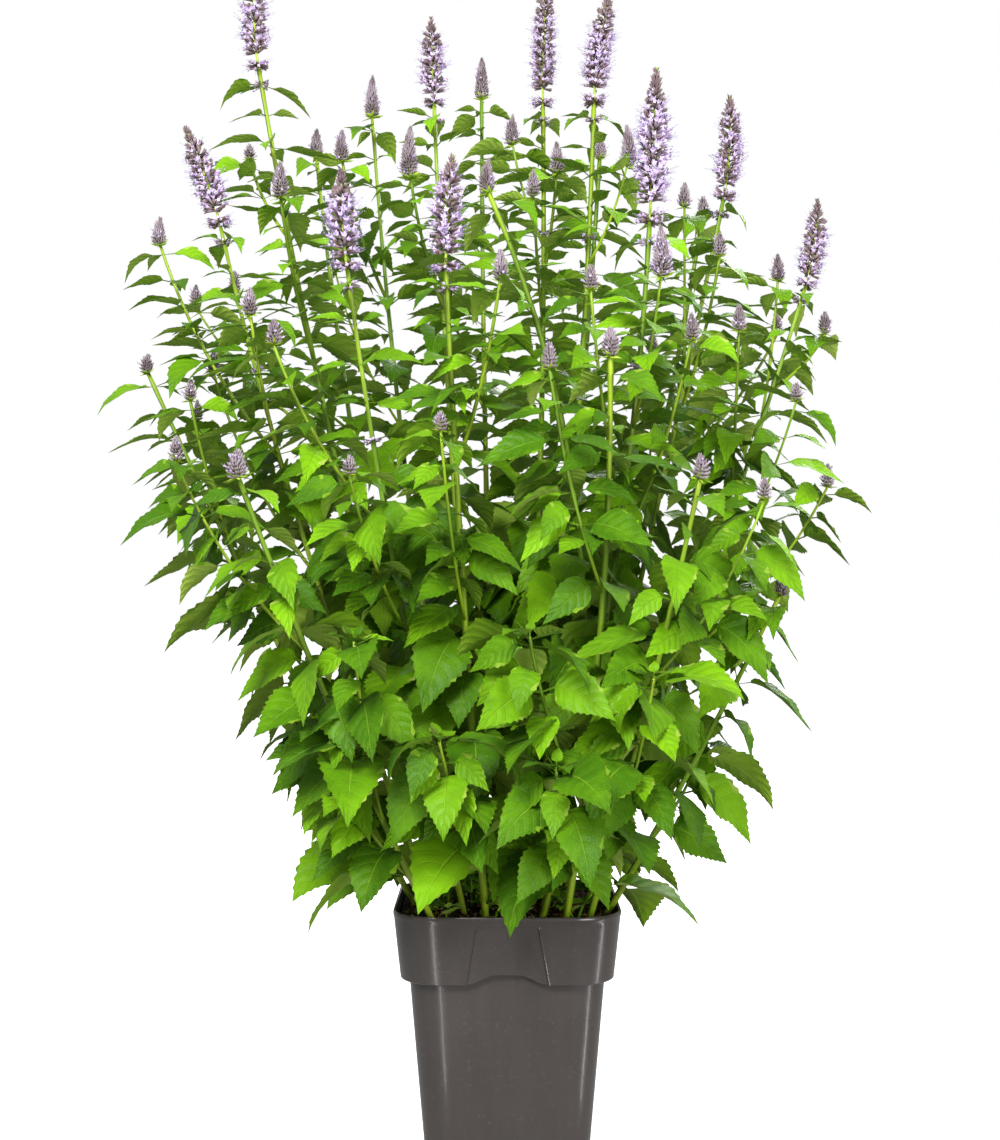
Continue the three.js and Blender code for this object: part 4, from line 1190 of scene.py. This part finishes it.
class AGASTACHE_OT_soil(bpy.types.Operator):
    """Fills the pot with lumpy potting mix and strews bark, fibre and grit over it"""

    bl_idname = "agastache.soil"
    bl_label = "Potting mix"

    def execute(self, context):
        inside, gap = POT["wall"] + SOIL_GAP, 0.6
        shoulder = POT["neck_z"] + POT["wall"] + POT["arch"]
        edge, corner = collar_half(SOIL_TOP) - inside - gap, POT["rim_corner"] - inside

        def ring(half, corner, z):
            across = [share * (half - corner) for share in (-0.8, -0.4, 0, 0.4, 0.8)]
            return square_ring(half, corner, z, across, steps=8)

        rings = [
            ring(POT["foot"] - inside, POT["foot_corner"] - inside, 3.4),
            ring(POT["neck"] - inside - gap, POT["neck_corner"] - inside, shoulder + 0.4),
            ring(POT["collar"] - inside - gap, POT["neck_corner"] + 3.4, shoulder + 1.5),
            ring(edge, corner, SOIL_TOP - 2),
        ]
        for k in range(26):
            share = 0.985 * (1 - k / 26)
            level = ring(edge * share, corner * share, 0)
            for p in level:
                lump = noise.fractal(p / 7, 0.6, 2.2, 4) * 1.5 + noise.noise(p / 2.3) * 0.7
                p.z = soil_height(p.x, p.y) + lump * smooth(1, 0.94, share)
            rings.append(level)
        bm = bmesh.new()
        loft(bm, rings)
        materials = soil_materials()
        finished(bm, "potting_mix", ["soil"], materials[:1])

        draw = random.Random(SEEDS["bits"]).uniform
        bm = bmesh.new()
        for _ in range(BITS):
            x, y = draw(-1, 1) * (edge - 3), draw(-1, 1) * (edge - 3)
            if math.hypot(max(abs(x) - 52, 0), max(abs(y) - 52, 0)) > 34:
                continue
            pick = draw(0, 1)
            kind = 0 if pick < 0.62 else 1 if pick < 0.9 else 2
            size = (draw(0.8, 2.3), draw(0.7, 1.5), draw(0.5, 0.9))
            if kind == 1:
                size = (draw(1.6, 4.5), draw(0.35, 0.7), draw(0.3, 0.5))
            turn = Matrix.Rotation(draw(0, 6.3), 4, "Z") @ Matrix.Rotation(draw(-0.6, 0.6), 4, "Y")
            place = Matrix.Translation((x, y, soil_height(x, y) + draw(0.2, 1.6)))
            verts = bmesh.ops.create_icosphere(
                bm, subdivisions=1, radius=1, matrix=place @ turn @ Matrix.Diagonal((*size, 1)))["verts"]
            for vert in verts:
                vert.co += noise.noise_vector(vert.co) * 0.3
            for face in {face for vert in verts for face in vert.link_faces}:
                face.material_index = kind
        finished(bm, "mix_bits", [], materials[1:])
        return {"FINISHED"}


class AGASTACHE_OT_leafy_stems(bpy.types.Operator):
    """Makes the square stems with side shoots, toothed leaves and the smallest buds, and the basal sprouts"""

    bl_idname = "agastache.leafy_stems"
    bl_label = "Leafy stems"

    def execute(self, context):
        plant = grown_plant()
        grown = sum(len(stalk["leaves"]) for stalks in plant for stalk in stalks)
        if grown < FEWEST_LEAVES:
            raise RuntimeError("only %d leaves were found in the frame" % grown)
        filling_leaves(plant, sizes().fullness)
        tone = colours()
        bud = floret_materials(True)
        materials = [
            stem_material(), bud[1], bud[2], bud[3],
            leaf_material("leaf_upper_quilted_green", tone.young_leaf, tone.leaf, "#9cc832", -0.6, 0.46),
            leaf_material("leaf_underside_felted_green", "#a6bf52", tone.leaf_under, "#a9c45c", 0.6, 0.7),
        ]
        florets = Florets()
        wide = Blade((-1, 0, 0.06, 0.15, 0.28, 0.44, 0.6, 0.76, 0.9, 1), 4, 4, 5)
        narrow = Blade((-1, 0, 0.12, 0.3, 0.52, 0.76, 1), 2, 4, 5)
        thickness = sizes().blade_thickness * 1000
        total = 0
        for index, stalks in enumerate(plant):
            draw = random.Random(SEEDS["stems"] + index).uniform
            bm = plant_bmesh()
            for stalk in stalks:
                add_stalk(bm, stalk["curve"], stalk["size"], stalk["phase"], 0, swell=stalk["nodes"])
            for stalk in stalks:
                for leaf in stalk["leaves"]:
                    large = leaf["length"] > LARGE_LEAF
                    blade, tooth = (wide, sizes().tooth) if large else (narrow, 0.7 * sizes().tooth)
                    blade.add(bm, leaf, leaf_tint(leaf, large, draw), tooth, thickness)
                if stalk.get("bud") and "spike" not in stalk:
                    size = stalk["bud"]
                    top = stalk["curve"].end
                    axis = Curve(top, top + UP * (0.5 * size), top + UP * size)
                    add_bud_spike(bm, florets, axis, size, 2.5 + 0.17 * size, draw)
                if "spike" in stalk and stalk["spike"]["kind"] == "F":
                    radius = stalk["spike"]["radius"]
                    for t, share in zip(stalk["nodes"][:-3:-1], (0.62, 0.5)):
                        if share > 0.6 or draw(0, 1) < 0.5:
                            add_whorl(bm, florets, stalk["curve"], t, share * radius, 0, None, draw)
                total += len(stalk["leaves"])
            name = "leafy_stem_%02d" % (index + 1)
            finished(bm, "stem_and_leaves_%02d" % (index + 1), [name], materials)
        bm = plant_bmesh()
        add_sprouts(bm, narrow, 0.7 * sizes().tooth, thickness)
        finished(bm, "basal_sprouts", [], materials)
        florets.clear()
        print("leaves in the frame", grown, "leaves in all", total)
        return {"FINISHED"}


class AGASTACHE_OT_flower_spikes(bpy.types.Operator):
    """Makes the ten flower spikes, with calyces, open florets and stamens"""

    bl_idname = "agastache.flower_spikes"
    bl_label = "Flower spikes"

    def execute(self, context):
        materials, florets = floret_materials(False), Florets()
        for number, spike in enumerate(grown_spikes("F")):
            bm = plant_bmesh()
            add_flower_spike(bm, florets, spike, random.Random(SEEDS["flowers"] + number).uniform)
            finished(bm, "florets_%02d" % (number + 1), [spike["node"]], materials)
        florets.clear()
        return {"FINISHED"}


class AGASTACHE_OT_bud_spikes(bpy.types.Operator):
    """Makes the larger buds that stand on stems and side shoots"""

    bl_idname = "agastache.bud_spikes"
    bl_label = "Bud spikes"

    def execute(self, context):
        materials, florets = floret_materials(True), Florets()
        for number, spike in enumerate(grown_spikes("B")):
            bm = plant_bmesh()
            opened = 0.3 if spike["node"] == MOST_OPEN_BUD else 0.07
            draw = random.Random(SEEDS["buds"] + number).uniform
            add_bud_spike(bm, florets, spike["curve"], spike["height"], spike["radius"], draw, opened)
            finished(bm, "buds_%02d" % (number + 1), [spike["node"]], materials)
        florets.clear()
        return {"FINISHED"}


class AGASTACHE_OT_stage(bpy.types.Operator):
    """Sets the pale floor, the soft lights and the camera"""

    bl_idname = "agastache.stage"
    bl_label = "Stage"

    def execute(self, context):
        look = context.scene.agastache_stage
        bm = bmesh.new()
        below = Matrix.Translation((0, 0, -FLOOR_DROP))
        bmesh.ops.create_grid(bm, x_segments=1, y_segments=1, size=15, matrix=below)
        mesh = mesh_of(bm, "studio_floor")
        paper, tree, shader = new_material("studio_white_paper", Roughness=0.9, Emission_Color=(1, 1, 1, 1),
                                           Emission_Strength=0.8)
        grain = add_node(tree, "TexNoise", {"Vector": add_node(tree, "TexCoord", out="Object"),
                                                      "Scale": 3, "Detail": 2})
        body = add_node(tree, "Mix", {0: grain, 6: rgba("#f8f8f8"), 7: rgba("#ffffff")}, out=2,
                        data_type="RGBA")
        tree.links.new(body, shader["Base Color"])
        mesh.materials.append(paper)
        floor = linked("studio_floor", mesh)
        floor.visible_glossy = floor.visible_diffuse = False

        world = bpy.data.worlds.new("studio_sky")
        world.use_nodes = True
        sky = world.node_tree.nodes["Background"].inputs
        sky["Color"].default_value = (1, 1, 1, 1)
        seen = add_node(world.node_tree, "LightPath", out="Is Camera Ray")
        seen = add_node(world.node_tree, "MapRange", {0: seen, 1: 0.0, 2: 1.0, 3: look.sky, 4: 1.0})
        world.node_tree.links.new(seen, sky["Strength"])
        context.scene.world = world
        for name, (place, target, size, share) in LAMPS.items():
            lamp = bpy.data.lights.new(name, "AREA")
            lamp.shape, lamp.energy = "RECTANGLE", share * look.key
            lamp.size, lamp.size_y = size
            light = linked(name, lamp)
            light.location = place
            light.rotation_euler = (Vector(target) - Vector(place)).to_track_quat("-Z", "Y").to_euler()
            light.visible_camera = False
        camera = bpy.data.cameras.new("camera")
        camera.lens, camera.sensor_width, camera.clip_start = look.lens, 36, 0.05
        view = linked("camera", camera)
        view.location = (CAMERA_ASIDE, -look.distance, CAMERA_HEIGHT)
        view.rotation_euler = (math.pi / 2, 0, 0)
        context.scene.camera = view
        context.scene.view_settings.view_transform = "Standard"
        return {"FINISHED"}


class AGASTACHE_PT_panel(bpy.types.Panel):
    """Lists the pieces and their settings"""

    bl_idname = "AGASTACHE_PT_panel"
    bl_label = "Agastache"
    bl_space_type = "VIEW_3D"
    bl_region_type = "UI"
    bl_category = "Agastache"

    def draw(self, context):
        for operator in OPERATORS:
            self.layout.operator(operator.bl_idname)
        for group_name in GROUPS:
            group, box = getattr(context.scene, group_name), self.layout.box()
            for name in group.bl_rna.properties.keys():
                if name not in {"rna_type", "name"}:
                    box.prop(group, name)


GROUPS = {
    "agastache_sizes": AGASTACHE_PG_sizes,
    "agastache_colours": AGASTACHE_PG_colours,
    "agastache_stage": AGASTACHE_PG_stage,
}
OPERATORS = (
    AGASTACHE_OT_stage, AGASTACHE_OT_pot, AGASTACHE_OT_soil,
    AGASTACHE_OT_leafy_stems, AGASTACHE_OT_flower_spikes, AGASTACHE_OT_bud_spikes,
)


def register():
    for group_class in (*GROUPS.values(), *OPERATORS, AGASTACHE_PT_panel):
        bpy.utils.register_class(group_class)
    for name, group in GROUPS.items():
        setattr(bpy.types.Scene, name, bpy.props.PointerProperty(type=group))


def unregister():
    for name in GROUPS:
        delattr(bpy.types.Scene, name)
    for group_class in reversed((*GROUPS.values(), *OPERATORS, AGASTACHE_PT_panel)):
        bpy.utils.unregister_class(group_class)


def main():
    """Makes every piece."""
    register()
    bpy.ops.agastache.stage()
    bpy.ops.agastache.pot()
    bpy.ops.agastache.soil()
    bpy.ops.agastache.leafy_stems()
    bpy.ops.agastache.flower_spikes()
    bpy.ops.agastache.bud_spikes()


if __name__ == "__main__":
    main()
